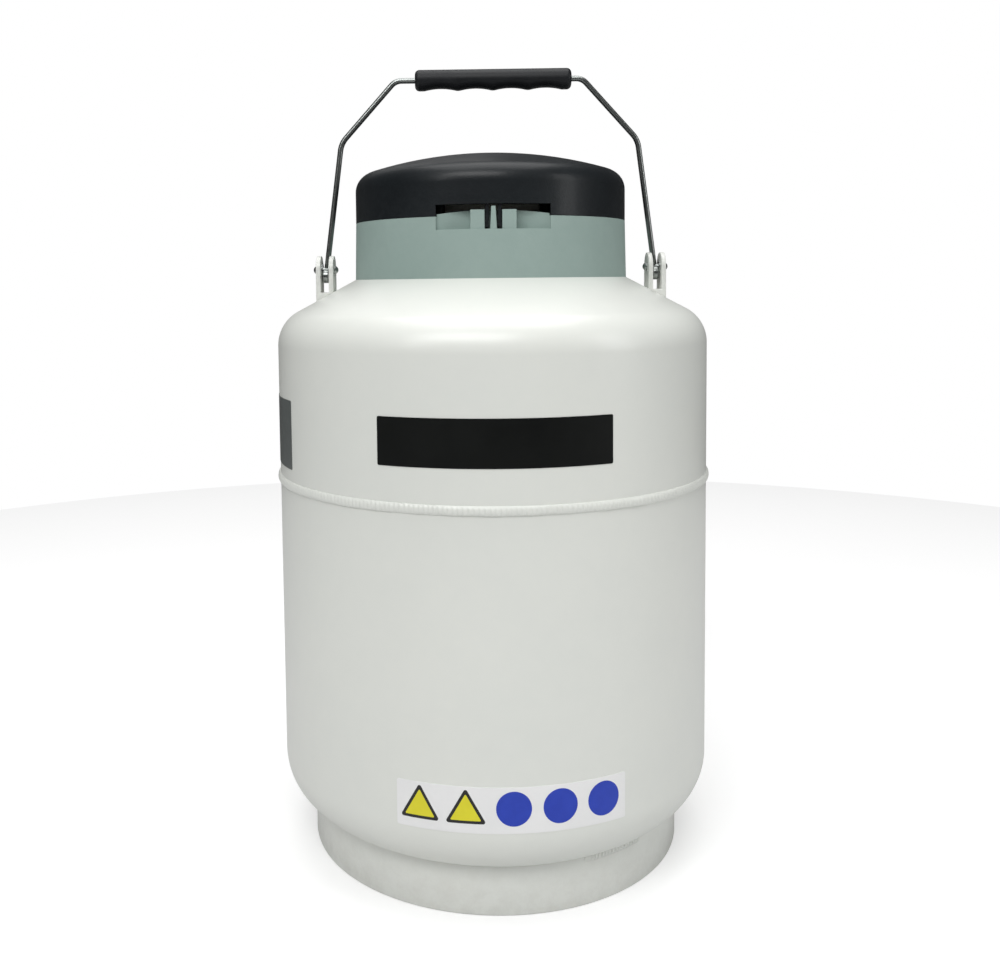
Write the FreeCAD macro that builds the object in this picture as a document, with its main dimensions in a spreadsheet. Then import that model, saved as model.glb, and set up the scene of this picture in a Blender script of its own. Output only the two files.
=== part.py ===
import FreeCAD, Part
import math
import os
import Sketcher

# A free-standing liquid nitrogen dewar: a welded aluminium outer shell on a foot ring, an insulated
# inner vessel hung from a glass-fibre neck tube, six canisters, a grey collar round the neck, a
# black lift-off lid that carries the neck plug, and a wire bail with a hand grip.
# Millimetres, +Z up, origin on the floor under the middle of the foot ring, front towards -Y.

DIMENSIONS = {
    # outer shell
    "shell_radius": 143.0,
    "shell_wall": 2.0,
    "head_line": 60.0,  # height at which the lower head begins to turn in
    "head_knuckle": 32.0,
    "head_crown": 430.0,
    "girth_height": 245.3,
    "bead_half": 3.0,
    "bead_rise": 1.75,
    "backing_half": 8.0,
    "backing_wall": 1.5,
    "shoulder_round": 25.0,
    "shoulder_slope": 28.0,
    "land_rise": 15.7,  # from the collar's foot up to the flat land round the neck
    # foot ring
    "foot_inset": 19.5,
    "foot_wall": 3.0,
    "foot_edge": 1.0,
    "stitch_span": 21.0,
    "stitch_first": 24.0,
    "stitch_width": 4.0,
    "stitch_round": 6.0,
    # neck
    "neck_bore": 25.0,
    "neck_wall": 1.6,
    "neck_length": 133.0,
    "neck_ring_width": 17.0,
    "neck_ring_height": 5.0,
    "neck_cuff_width": 9.0,
    "neck_cuff_height": 11.0,
    "index_width": 15.0,
    "index_height": 4.0,
    "index_floor": 1.2,
    "slot_width": 3.6,
    # inner vessel
    "vessel_radius": 104.0,
    "vessel_wall": 1.5,
    "vessel_low_line": 92.0,
    "vessel_lap": 6.83,  # how far the vessel's crown would rise above the neck's lower end
    "vessel_knuckle": 28.0,
    "vessel_crown": 300.0,
    "vessel_bead_half": 2.5,
    "vessel_bead_rise": 1.0,
    "wrap_gap": 1.2,
    "wrap_thickness": 10.0,
    "getter_radius": 20.0,
    "getter_thickness": 4.0,
    # canisters
    "canister_count": 6.0,
    "canister_radius": 19.0,
    "canister_wall": 0.8,
    "canister_height": 120.0,
    "canister_gap": 3.0,
    "canister_drop": 30.0,  # below the line where the vessel's wall begins to turn in
    "drain_hole": 4.0,
    "drain_low": 14.0,
    "drain_high": 60.0,
    "stem_radius": 1.4,
    "stem_lap": 60.0,
    "stem_bend": 3.5,
    "hook_reach": 2.5,
    "hook_drop": 6.0,
    "rack_height": 8.0,
    "rack_thickness": 2.0,
    "rack_rim": 5.0,
    "rack_clearance": 0.6,
    "rack_leg": 2.5,
    "rack_leg_circle": 9.0,
    # vacuum port on the back of the shoulder
    "port_shift": 0.5,  # outwards from midway between the collar and the wall
    "port_bearing": 135.0,
    "port_radius": 8.0,
    "port_wall": 1.5,
    "port_rise": 8.0,
    "port_sink": 5.0,
    "port_cap_wall": 2.0,
    "port_cap_top": 2.5,
    "port_gap": 0.2,
    "ring_groove": 1.1,
    # collar
    "collar_radius": 90.0,
    "collar_draft": 0.8,
    "collar_foot": 374.3,
    "collar_wall": 3.0,
    "deck_gap": 0.5,  # from the index ring up to the deck's top
    "well_depth": 11.9,
    "deck_thickness": 2.5,
    "deck_margin": 5.0,
    "pillar_margin": 8.0,
    "pillar_radius": 5.2,
    "stud_radius": 4.6,
    "stud_height": 3.0,
    "screw_count": 4.0,
    "screw_radius": 2.0,
    "screw_head": 3.8,
    "screw_head_height": 2.4,
    "screw_gap": 0.2,
    # lock window in the front of the collar and lid
    "window_half": 34.4,
    "sill_rise": 4.0,
    "notch_rise": 7.1,
    "window_depth": 8.7,
    "window_wall": 2.5,
    "window_rise": 2.4,
    "screen_rise": 1.4,
    "screen_reach": 1.5,
    "window_clear": 0.6,
    "post_near": 5.3,
    "post_far": 13.7,
    "post_inset": 1.1,
    "post_drop": 0.24,
    "rib_inset": 0.2,
    "rib_half_low": 2.1,
    "rib_half_high": 1.25,
    "rib_gap": 1.5,
    "prong_rib_gap": 0.6,
    "prong_post_gap": 0.5,
    "prong_inset": 0.9,
    "prong_gap": 1.1,
    "lock_hole": 2.5,
    "lock_inset": 4.0,
    "lock_rise": 5.7,
    # lid
    "seam_gap": 0.3,
    "lid_wall": 3.0,
    "lid_height": 45.5,
    "lid_knuckle": 13.0,
    "lid_crown": 270.0,
    "spigot_gap": 1.0,
    "spigot_wall": 2.8,
    "spigot_clear": 5.5,
    "spigot_rise": 13.6,
    "break_margin": 3.6,
    "cheek_lap": 1.0,
    "plate_margin": 8.0,
    "plate_clear": 6.5,
    "plate_thickness": 2.5,
    "boss_margin": 13.0,
    "boss_radius": 4.5,
    "boss_count": 6.0,
    "filler_inset": 7.0,
    "filler_clear": 1.3,
    "filler_gap": 1.0,
    "seal_clear": 1.4,
    "seal_width": 3.4,
    # neck plug
    "plug_gap": 0.8,
    "plug_length": 121.0,
    "plug_groove_gap": 0.7,
    "plug_rod": 2.5,
    "plug_rod_proud": 0.7,
    "plug_rod_reach": 112.0,
    "washer_radius": 10.0,
    "washer_thickness": 1.5,
    "nut_radius": 4.6,
    "nut_height": 4.0,
    # bail, brackets and pivots
    "pivot_rise": 6.9,
    "pivot_out": 21.4,
    "pivot_pin": 2.0,
    "pivot_running_gap": 0.05,
    "ear_radius": 9.5,
    "ear_wall": 3.0,
    "ear_gap": 5.6,
    "ear_slot_depth": 15.2,
    "ear_depth": 31.2,
    "rivet_head": 2.9,
    "rivet_head_height": 2.6,
    "wire_radius": 1.85,
    "eye_radius": 4.6,
    "eye_thickness": 3.8,
    "eye_lap": 2.4,
    "eye_tail": 8.8,
    "shank_rise": 1.0,
    "shank_bend": 24.0,
    "side_gap": 0.1,
    "knee_in": 11.9,
    "knee_rise": 84.8,
    "knee_bend": 16.0,
    "top_margin": 10.3,
    "top_rise": 41.0,
    "top_bend": 9.0,
    "grip_radius": 7.0,
    "grip_length": 104.4,
    "grip_shift": 2.9,
    "grip_end": 3.0,
    "finger_count": 4.0,
    "finger_pitch": 23.4,
    "finger_half": 10.8,
    "finger_depth": 1.4,
    # label films
    "film": 0.25,
    "front_film_start": -28.4,
    "front_film_end": 27.2,
    "front_film_rise": 23.7,  # from the girth weld
    "front_film_width": 28.0,
    "side_film_start": -92.0,
    "side_film_end": -62.0,
    "side_film_rise": 10.7,
    "side_film_width": 43.5,
    "safety_film_start": -24.5,
    "safety_film_end": 30.6,
    "safety_film_rise": 0.5,  # from the line where the lower head turns in
    "safety_film_width": 27.0,
}


class Size(float):
    """A number that also knows the rule, written in sheet cells, that gives it."""

    def __new__(cls, value, rule):
        size = super().__new__(cls, value)
        size.rule = rule
        return size

    def __add__(self, other):
        return Size(float(self) + float(other), f"({self.rule} + {rule_of(other)})")

    def __radd__(self, other):
        return Size(float(other) + float(self), f"({rule_of(other)} + {self.rule})")

    def __sub__(self, other):
        return Size(float(self) - float(other), f"({self.rule} - {rule_of(other)})")

    def __rsub__(self, other):
        return Size(float(other) - float(self), f"({rule_of(other)} - {self.rule})")

    def __mul__(self, other):
        return Size(float(self) * float(other), f"({self.rule} * {rule_of(other)})")

    def __rmul__(self, other):
        return Size(float(other) * float(self), f"({rule_of(other)} * {self.rule})")

    def __truediv__(self, other):
        return Size(float(self) / float(other), f"({self.rule} / {rule_of(other)})")

    def __neg__(self):
        return Size(-float(self), f"(0 - {self.rule})")


def rule_of(value):
    return value.rule if isinstance(value, Size) else repr(float(value))


def root(value):
    return Size(math.sqrt(value), f"sqrt({rule_of(value)})")


def sine(degrees):
    return Size(math.sin(math.radians(degrees)), f"sin({rule_of(degrees)})")


def cosine(degrees):
    return Size(math.cos(math.radians(degrees)), f"cos({rule_of(degrees)})")


def tangent(degrees):
    return Size(math.tan(math.radians(degrees)), f"tan({rule_of(degrees)})")


doc = FreeCAD.newDocument("dewar")
sheet = doc.addObject("Spreadsheet::Sheet", "sizes")
SUB_PARTS = []
TINY = 1e-3  # mm; flatter than this counts as flat
OVERRUN = 2.0  # mm; how far a cut runs past the face that it leaves
THROUGH = 3.0  # a cut this many radii deep goes right through


def fill_sheet():
    """Writes the driving dimensions into the sheet and returns them as sizes."""
    sizes = {}
    for row, (alias, value) in enumerate(DIMENSIONS.items(), start=1):
        sheet.set(f"A{row}", alias)
        sheet.set(f"B{row}", str(value))
        sheet.setAlias(f"B{row}", alias)
        sizes[alias] = Size(value, f"sizes.{alias}")
    doc.recompute()
    return sizes


class Named:
    """Gives each driving dimension, and each size that follows from them, as an attribute."""

    def __init__(self, sizes):
        self.__dict__.update(sizes)


d = Named(fill_sheet())


def settle_flask():
    """The neck, the inner vessel and what stands on the shell follow the shell and the collar's foot."""
    d.land_height = d.collar_foot + d.land_rise
    d.neck_top = d.land_height + d.neck_ring_height
    d.neck_bottom = d.neck_top - d.neck_length
    d.neck_ring_radius = d.neck_bore + d.neck_ring_width
    d.neck_cuff_radius = d.neck_bore + d.neck_cuff_width
    d.index_radius = d.neck_bore + d.index_width
    crown, turn = d.vessel_crown - d.vessel_knuckle, d.vessel_radius - d.vessel_knuckle
    head_height = d.vessel_crown - root(crown * crown - turn * turn)
    d.vessel_high_line = d.neck_bottom + d.vessel_lap - head_height
    d.canister_floor = d.vessel_low_line - d.canister_drop
    d.port_circle = (d.collar_radius + d.shell_radius) / 2 + d.port_shift
    d.front_film_low = d.girth_height + d.front_film_rise
    d.side_film_low = d.girth_height + d.side_film_rise
    d.safety_film_low = d.head_line + d.safety_film_rise


def settle_collar():
    """The deck clears the neck's rings, and the window is cut from the collar's rim."""
    d.deck_height = d.neck_top + d.index_height + d.deck_gap
    d.collar_top = d.deck_height + d.well_depth
    d.deck_inner = d.neck_ring_radius + d.deck_margin
    d.pillar_circle = d.deck_inner + d.pillar_margin
    d.window_low = d.deck_height + d.sill_rise
    d.window_high = d.collar_top + d.notch_rise
    d.window_back = d.collar_radius - d.window_depth
    d.window_back_top = d.collar_top + d.screen_rise
    d.post_front = d.collar_radius - d.post_inset
    d.rib_top = d.window_high - d.rib_gap
    d.lock_depth = d.window_back + d.lock_inset
    d.lock_height = d.window_low + d.lock_rise


def settle_lid():
    """The lid sits on the collar's rim, its prongs stand between the posts, and its plate clears the deck."""
    d.prong_near = d.rib_half_low + d.prong_rib_gap
    d.prong_far = d.post_near - d.prong_post_gap
    d.prong_front = d.post_front - d.prong_inset
    d.prong_back = d.window_back + d.prong_gap
    d.prong_low = d.window_low + d.prong_gap
    d.lid_top = d.collar_top + d.lid_height
    d.spigot_low = d.deck_height + d.spigot_clear
    d.spigot_high = d.collar_top + d.spigot_rise
    d.spigot_break = d.window_half + d.break_margin
    d.boss_circle = d.pillar_circle + d.boss_margin
    d.plate_radius = d.boss_circle + d.plate_margin
    d.plate_low = d.deck_height + d.plate_clear
    d.filler_radius = d.boss_circle - d.filler_inset
    d.plug_rod_rise = d.washer_thickness + d.nut_height + d.plug_rod_proud
    d.filler_low = d.plate_low + d.plate_thickness + d.plug_rod_rise + d.filler_clear
    d.seal_inner = d.pillar_circle + d.screw_head + d.seal_clear
    d.seal_outer = d.seal_inner + d.seal_width


def settle_bail():
    """The pivots stand beside the collar, and the wire leans in from them to the grip."""
    d.pivot_height = d.collar_foot + d.pivot_rise
    d.pivot_side = d.collar_radius + d.pivot_out
    d.ear_floor = d.pivot_height - d.ear_slot_depth
    d.ear_root = d.pivot_height - d.ear_depth
    d.knee_side = d.pivot_side - d.knee_in
    d.knee_height = d.pivot_height + d.knee_rise
    d.top_side = d.grip_length / 2 + d.top_margin
    d.top_height = d.knee_height + d.top_rise


settle_flask()
settle_collar()
settle_lid()
settle_bail()


# ---- sketch and feature helpers ----


def bind(item, path, value):
    """Ties one property of an object to its rule, or sets it when it is a plain number."""
    if isinstance(value, Size):
        item.setExpression(path, value.rule)
    elif value:
        item.setExpression(path, repr(float(value)))


def new_body(name):
    body = doc.addObject("PartDesign::Body", name)
    body.Label = name
    SUB_PARTS.append(body)
    return body


def sketch_on(body, plane, offset=0.0):
    sketch = body.newObject("Sketcher::SketchObject", f"{body.Name}_sketch")
    found = [feature for feature in body.Origin.OriginFeatures if feature.Role == plane]
    sketch.AttachmentSupport = [(found[0], "")]
    sketch.MapMode = "FlatFace"
    bind(sketch, "AttachmentOffset.Base.z", offset)
    return sketch


def fix_point(sketch, geometry, end, x, y):
    """Holds one end of a sketch edge at x, y from the sketch's origin."""
    for kind, value, axis in (("DistanceX", x, -2), ("DistanceY", y, -1)):
        if not isinstance(value, Size) and not value:
            sketch.addConstraint(Sketcher.Constraint("PointOnObject", geometry, end, axis))
            continue
        number = sketch.addConstraint(Sketcher.Constraint(kind, -1, 1, geometry, end, float(value)))
        bind(sketch, f"Constraints[{number}]", value)


def arc_between(start, end, radius):
    """A minor arc from start to end; a positive radius turns left, a negative one right."""
    size = abs(radius)
    chord = end - start
    middle = (start + end) * 0.5
    rise = math.sqrt(max(size * size - chord.Length**2 / 4, 0.0))
    left = FreeCAD.Vector(-chord.y, chord.x, 0).normalize()
    centre = middle + left * math.copysign(rise, radius)
    low, high = (start, end) if radius > 0 else (end, start)
    first = math.atan2(low.y - centre.y, low.x - centre.x)
    last = math.atan2(high.y - centre.y, high.x - centre.x)
    circle = Part.Circle(centre, FreeCAD.Vector(0, 0, 1), size)
    return Part.ArcOfCircle(circle, first, last)


def outline(sketch, points):
    """Draws a closed outline. A point is (x, y), or (x, y, radius) where an arc leads to it."""
    draw(sketch, points, closed=True)


def draw(sketch, points, closed):
    """Draws straight and arc edges from point to point, and holds each of their ends."""
    start = points[-1] if closed else points[0]
    joins = []
    for point in points if closed else points[1:]:
        first, last = FreeCAD.Vector(*start[:2], 0), FreeCAD.Vector(*point[:2], 0)
        if len(point) > 2:
            edge = sketch.addGeometry(arc_between(first, last, point[2]))
            ends = (1, 2) if point[2] > 0 else (2, 1)
            size = point[2] if point[2] > 0 else -point[2]
            index = sketch.addConstraint(Sketcher.Constraint("Radius", edge, float(size)))
            bind(sketch, f"Constraints[{index}]", size)
        else:
            edge = sketch.addGeometry(Part.LineSegment(first, last))
            ends = (1, 2)
        fix_point(sketch, edge, ends[1], *point[:2])
        joins.append((edge, *ends))
        start = point
    if not closed:
        fix_point(sketch, joins[0][0], joins[0][1], *points[0][:2])
    for number in range(0 if closed else 1, len(joins)):
        before, after = joins[number - 1], joins[number]
        join = Sketcher.Constraint("Coincident", before[0], before[2], after[0], after[1])
        sketch.addConstraint(join)


def circle(sketch, x, y, radius):
    centre = FreeCAD.Vector(x, y, 0)
    number = sketch.addGeometry(Part.Circle(centre, FreeCAD.Vector(0, 0, 1), float(radius)))
    index = sketch.addConstraint(Sketcher.Constraint("Radius", number, float(radius)))
    bind(sketch, f"Constraints[{index}]", radius)
    fix_point(sketch, number, 3, x, y)


def box_outline(sketch, low_x, high_x, low_y, high_y):
    outline(sketch, [(low_x, low_y), (high_x, low_y), (high_x, high_y), (low_x, high_y)])


def feature_of(body, kind, sketch, length=None, reverse=False, both=False):
    feature = body.newObject(f"PartDesign::{kind}", f"{body.Name}_{kind}")
    feature.Profile = sketch
    if length is not None:
        bind(feature, "Length", length)
    feature.Reversed = reverse
    feature.Midplane = both
    return feature


def turn(body, kind, sketch, angle=None):
    """A Revolution or Groove of the sketch about the body's own Z axis."""
    feature = body.newObject(f"PartDesign::{kind}", f"{body.Name}_{kind}")
    feature.Profile = sketch
    feature.ReferenceAxis = (sketch, ["V_Axis"])
    if angle is None:
        feature.Angle = 360
    else:
        bind(feature, "Angle", angle)
    return feature


def turned(name, points, angle=None):
    body = new_body(name)
    sketch = sketch_on(body, "XZ_Plane")
    outline(sketch, points)
    turn(body, "Revolution", sketch, angle)
    return body


def pad_round(body, x, y, low, height, radius):
    """A round bar standing on the XY plane at height low."""
    sketch = sketch_on(body, "XY_Plane", low)
    circle(sketch, x, y, radius)
    return feature_of(body, "Pad", sketch, height)


def drill(body, x, y, low, height, radius):
    sketch = sketch_on(body, "XY_Plane", low)
    circle(sketch, x, y, radius)
    return feature_of(body, "Pocket", sketch, height, reverse=True)


def ring_of(body, features, count):
    """Repeats features round the body's Z axis."""
    pattern = body.newObject("PartDesign::PolarPattern", f"{body.Name}_pattern")
    pattern.Originals = features
    axis = [feature for feature in body.Origin.OriginFeatures if feature.Role == "Z_Axis"]
    pattern.Axis = (axis[0], [""])
    pattern.Angle = 360
    bind(pattern, "Occurrences", count)
    body.Tip = pattern
    return pattern


def round_edges(body, radius, wanted):
    """Fillets the edges that the test picks."""
    doc.recompute()
    base = body.Tip
    edges = [
        f"Edge{number}" for number, edge in enumerate(base.Shape.Edges, start=1) if wanted(edge)
    ]
    fillet = body.newObject("PartDesign::Fillet", f"{body.Name}_Fillet")
    fillet.Base = (base, edges)
    bind(fillet, "Radius", radius)
    body.Tip = fillet
    return fillet


def place(body, x=0.0, y=0.0, z=0.0, axis=None, angle=0.0):
    body.Placement = FreeCAD.Placement(
        FreeCAD.Vector(x, y, z), FreeCAD.Rotation(axis or FreeCAD.Vector(0, 0, 1), float(angle))
    )
    for path, value in (("x", x), ("y", y), ("z", z)):
        bind(body, f"Placement.Base.{path}", value)
    if isinstance(angle, Size):
        bind(body, "Placement.Rotation.Angle", angle)


def rounded(before, corner, after, bend):
    """Where an arc of radius bend leaves and joins the two runs that meet at a corner."""
    back_x, back_y = before[0] - corner[0], before[1] - corner[1]
    ahead_x, ahead_y = after[0] - corner[0], after[1] - corner[1]
    back = root(back_x * back_x + back_y * back_y)
    ahead = root(ahead_x * ahead_x + ahead_y * ahead_y)
    spread = (back_x * ahead_x + back_y * ahead_y) / (back * ahead)
    reach = bend * root((1.0 + spread) / (1.0 - spread))
    leave = (corner[0] + back_x * reach / back, corner[1] + back_y * reach / back)
    join = (corner[0] + ahead_x * reach / ahead, corner[1] + ahead_y * reach / ahead)
    turns_left = float(back_x) * float(ahead_y) - float(back_y) * float(ahead_x) < 0
    return leave, (*join, bend if turns_left else -bend)


def bent_path(sketch, corners, bends):
    """An open line of straight runs between corners, joined by arcs of the given radii."""
    points = [corners[0]]
    for number, bend in enumerate(bends, start=1):
        points.extend(rounded(corners[number - 1], corners[number], corners[number + 1], bend))
    points.append(corners[-1])
    draw(sketch, points, closed=False)


# ---- shared geometry of the shell, heads and cone ----


def cone_height(radius):
    """Height of the shoulder's outer surface at a radius on its straight part."""
    return d.collar_foot + (d.collar_radius + d.collar_draft - radius) * tangent(d.shoulder_slope)


def dished(radius, line, knuckle, crown, inset, up):
    """Corner points of a dished head: knuckle start, knuckle end and crown pole, set in by inset.

    The head hangs below its line, or stands above it when up is 1.
    """
    side = 1 if up else -1
    level = radius - knuckle
    reach = crown - knuckle
    tall = root(reach * reach - level * level)
    small = knuckle - inset
    start = (radius - inset, line)
    end = (level + small * level / reach, line + side * (small * tall / reach))
    pole = (0.0, line + side * (crown - inset - tall))
    return start, end, pole


def head_pair(radius, line, knuckle, crown, wall, up):
    """Outer and inner corner points of a head with a wall."""
    outer = dished(radius, line, knuckle, crown, 0.0, up)
    inner = dished(radius, line, knuckle, crown, wall, up)
    return outer, inner


# ---- outer shell ----


def outer_shell_lower():
    (o_start, o_end, o_pole), (i_start, i_end, i_pole) = head_pair(
        d.shell_radius, d.head_line, d.head_knuckle, d.head_crown, d.shell_wall, up=False
    )
    inner_knuckle = d.head_knuckle - d.shell_wall
    inner_crown = d.head_crown - d.shell_wall
    turned(
        "outer_shell_lower",
        [
            (d.shell_radius, d.girth_height),
            (i_start[0], d.girth_height),
            i_start,
            (*i_end, -inner_knuckle),
            (*i_pole, -inner_crown),
            o_pole,
            (*o_end, d.head_crown),
            (*o_start, d.head_knuckle),
        ],
    )


def shoulder_corners(inset):
    """Knuckle start, knuckle end and land corner of the shoulder, set in by inset."""
    round_centre = d.shell_radius - d.shoulder_round
    slope = d.shoulder_slope
    turn_in = round_centre + d.shoulder_round * sine(slope)
    centre_height = cone_height(turn_in) - d.shoulder_round * cosine(slope)
    small = d.shoulder_round - inset
    start = (d.shell_radius - inset, centre_height)
    end = (round_centre + small * sine(slope), centre_height + small * cosine(slope))
    land = d.land_height - inset
    fall = land + inset / cosine(slope) - d.collar_foot
    corner = (d.collar_radius + d.collar_draft - fall / tangent(slope), land)
    return start, end, corner


def outer_shell_upper():
    o_start, o_end, o_corner = shoulder_corners(0.0)
    i_start, i_end, i_corner = shoulder_corners(d.shell_wall)
    hole = d.neck_bore + d.neck_wall
    body = turned(
        "outer_shell_upper",
        [
            (d.shell_radius, d.girth_height),
            o_start,
            (*o_end, d.shoulder_round),
            o_corner,
            (hole, o_corner[1]),
            (hole, i_corner[1]),
            i_corner,
            i_end,
            (*i_start, -(d.shoulder_round - d.shell_wall)),
            (i_start[0], d.girth_height),
        ],
    )
    sketch = sketch_on(body, "XY_Plane")
    tilt_to_port(sketch, "AttachmentOffset")
    circle(sketch, 0.0, 0.0, d.port_radius)
    feature_of(body, "Pocket", sketch, d.port_sink * 2, both=True)


def girth_weld_bead():
    rise, half = d.bead_rise, d.bead_half
    bulge = (half * half + rise * rise) / (rise * 2)
    turned(
        "girth_weld_bead",
        [
            (d.shell_radius, d.girth_height - half),
            (d.shell_radius, d.girth_height + half, bulge),
        ],
    )


def weld_backing_ring():
    outer = d.shell_radius - d.shell_wall
    ring("weld_backing_ring", outer - d.backing_wall, outer, d.girth_height, d.backing_half)


def ring(name, inner, outer, middle, half):
    return turned(
        name,
        [(inner, middle - half), (outer, middle - half), (outer, middle + half), (inner, middle + half)],
    )


def below_head(body):
    """Takes the lower head's outer shape off whatever reaches into it."""
    start, end, pole = dished(
        d.shell_radius, d.head_line, d.head_knuckle, d.head_crown, 0.0, up=False
    )
    sketch = sketch_on(body, "XZ_Plane")
    outline(
        sketch,
        [(0.0, d.head_line), pole, (*end, d.head_crown), (*start, d.head_knuckle)],
    )
    turn(body, "Groove", sketch)


def foot_ring():
    outer = d.shell_radius - d.foot_inset
    inner = outer - d.foot_wall
    body = new_body("foot_ring")
    sketch = sketch_on(body, "XZ_Plane")
    box_outline(sketch, inner, outer, 0.0, d.head_line - d.foot_wall)
    turn(body, "Revolution", sketch)
    below_head(body)
    round_edges(body, d.foot_edge, lambda edge: edge.Closed and edge.BoundBox.ZMax < TINY)


def foot_stitch_welds():
    """Three short beads in the corner between the foot ring and the head."""
    outer = d.shell_radius - d.foot_inset
    body = new_body("foot_stitch_welds")
    level = d.shell_radius - d.head_knuckle
    drop = root(d.head_knuckle * d.head_knuckle - (outer - level) * (outer - level))
    corner = d.head_line - drop
    sketch = sketch_on(body, "XZ_Plane")
    outline(
        sketch,
        [
            (outer, corner - d.stitch_width),
            (outer + d.stitch_width, corner + d.stitch_width, d.stitch_round),
            (outer, corner + d.stitch_width),
        ],
    )
    turn(body, "Revolution", sketch, d.stitch_span)
    below_head(body)
    ring_of(body, [feature for feature in body.Group if "sketch" not in feature.Name], 3)
    place(body, angle=d.stitch_first - 90)


# ---- neck ----


def neck_tube():
    outer = d.neck_bore + d.neck_wall
    top = d.neck_top
    turned(
        "neck_tube",
        [(d.neck_bore, d.neck_bottom), (outer, d.neck_bottom), (outer, top), (d.neck_bore, top)],
    )


def neck_top_ring():
    inner = d.neck_bore + d.neck_wall
    half = d.neck_ring_height / 2
    ring("neck_top_ring", inner, d.neck_ring_radius, d.land_height + half, half)


def neck_bottom_cuff():
    inner = d.neck_bore + d.neck_wall
    half = d.neck_cuff_height / 2
    ring("neck_bottom_cuff", inner, d.neck_cuff_radius, d.neck_bottom + half, half)


def index_ring():
    """The slotted ring that keeps the canister hooks apart."""
    low = d.neck_top
    half = d.index_height / 2
    body = ring("index_ring", d.neck_bore, d.index_radius, low + half, half)
    sketch = sketch_on(body, "XY_Plane", low + d.index_floor)
    side = d.slot_width / 2
    box_outline(sketch, d.neck_bore - OVERRUN, d.index_radius + OVERRUN, -side, side)
    slot = feature_of(body, "Pocket", sketch, d.index_height, reverse=True)
    ring_of(body, [slot], d.canister_count)


# ---- inner vessel ----


def vessel_head(inset, up):
    line = d.vessel_high_line if up else d.vessel_low_line
    return dished(d.vessel_radius, line, d.vessel_knuckle, d.vessel_crown, inset, up)


def crown_height(inset, radius, up):
    """Height of a vessel head's crown surface at a radius near its middle."""
    pole = vessel_head(inset, up)[2][1]
    size = d.vessel_crown - inset
    sag = size - root(size * size - radius * radius)
    return pole - sag if up else pole + sag


def inner_vessel_lower():
    o_start, o_end, o_pole = vessel_head(0.0, up=False)
    i_start, i_end, i_pole = vessel_head(d.vessel_wall, up=False)
    middle = (d.vessel_low_line + d.vessel_high_line) / 2
    turned(
        "inner_vessel_lower",
        [
            (o_start[0], middle),
            (i_start[0], middle),
            i_start,
            (*i_end, -(d.vessel_knuckle - d.vessel_wall)),
            (*i_pole, -(d.vessel_crown - d.vessel_wall)),
            o_pole,
            (*o_end, d.vessel_crown),
            (*o_start, d.vessel_knuckle),
        ],
    )


def inner_vessel_upper():
    o_start, o_end, _ = vessel_head(0.0, up=True)
    i_start, i_end, _ = vessel_head(d.vessel_wall, up=True)
    middle = (d.vessel_low_line + d.vessel_high_line) / 2
    hole = d.neck_cuff_radius
    turned(
        "inner_vessel_upper",
        [
            (o_start[0], middle),
            o_start,
            (*o_end, d.vessel_knuckle),
            (hole, crown_height(0.0, hole, up=True), d.vessel_crown),
            (hole, crown_height(d.vessel_wall, hole, up=True)),
            (*i_end, -(d.vessel_crown - d.vessel_wall)),
            (*i_start, -(d.vessel_knuckle - d.vessel_wall)),
            (i_start[0], middle),
        ],
    )


def inner_weld_bead():
    middle = (d.vessel_low_line + d.vessel_high_line) / 2
    rise, half = d.vessel_bead_rise, d.vessel_bead_half
    bulge = (half * half + rise * rise) / (rise * 2)
    turned(
        "inner_weld_bead",
        [(d.vessel_radius, middle - half), (d.vessel_radius, middle + half, bulge)],
    )


def insulation_wrap():
    """Foil and paper layers wound round the whole inner vessel, as one closed jacket."""
    near = -d.wrap_gap
    far = -(d.wrap_gap + d.wrap_thickness)
    hole = d.neck_cuff_radius + d.wrap_gap
    up_far, up_near = vessel_head(far, up=True), vessel_head(near, up=True)
    low_far, low_near = vessel_head(far, up=False), vessel_head(near, up=False)
    turned(
        "insulation_wrap",
        [
            (*low_far[0], d.vessel_knuckle - far),
            up_far[0],
            (*up_far[1], d.vessel_knuckle - far),
            (hole, crown_height(far, hole, up=True), d.vessel_crown - far),
            (hole, crown_height(near, hole, up=True)),
            (*up_near[1], -(d.vessel_crown - near)),
            (*up_near[0], -(d.vessel_knuckle - near)),
            low_near[0],
            (*low_near[1], -(d.vessel_knuckle - near)),
            (*low_near[2], -(d.vessel_crown - near)),
            low_far[2],
            (*low_far[1], d.vessel_crown - far),
        ],
    )


def getter_packet():
    """A packet of hydrogen getter on the warm inside of the outer shell's bottom."""
    pole = dished(
        d.shell_radius, d.head_line, d.head_knuckle, d.head_crown, d.shell_wall, up=False
    )[2][1]
    body = new_body("getter_packet")
    size = d.head_crown - d.shell_wall
    sag = size - root(size * size - d.getter_radius * d.getter_radius)
    pad_round(body, 0.0, 0.0, pole + sag, d.getter_thickness, d.getter_radius)


# ---- canisters ----


def canister_circle():
    """Radius of the circle on which the canisters stand side by side."""
    return d.canister_radius * 2 + d.canister_gap


def stem_circle():
    return canister_circle() - d.canister_radius - d.stem_radius


def canister_cup(number, bearing):
    radius, wall = d.canister_radius, d.canister_wall
    body = turned(
        f"canister_{number}",
        [
            (0.0, 0.0),
            (radius, 0.0),
            (radius, d.canister_height),
            (radius - wall, d.canister_height),
            (radius - wall, wall),
            (0.0, wall),
        ],
    )
    sketch = sketch_on(body, "XZ_Plane")
    circle(sketch, 0.0, d.drain_low, d.drain_hole)
    circle(sketch, 0.0, d.drain_high, d.drain_hole)
    feature_of(body, "Pocket", sketch, d.canister_radius * THROUGH, both=True)
    reach = canister_circle()
    place(
        body,
        reach * cosine(bearing),
        reach * sine(bearing),
        d.canister_floor,
        angle=bearing,
    )


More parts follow.
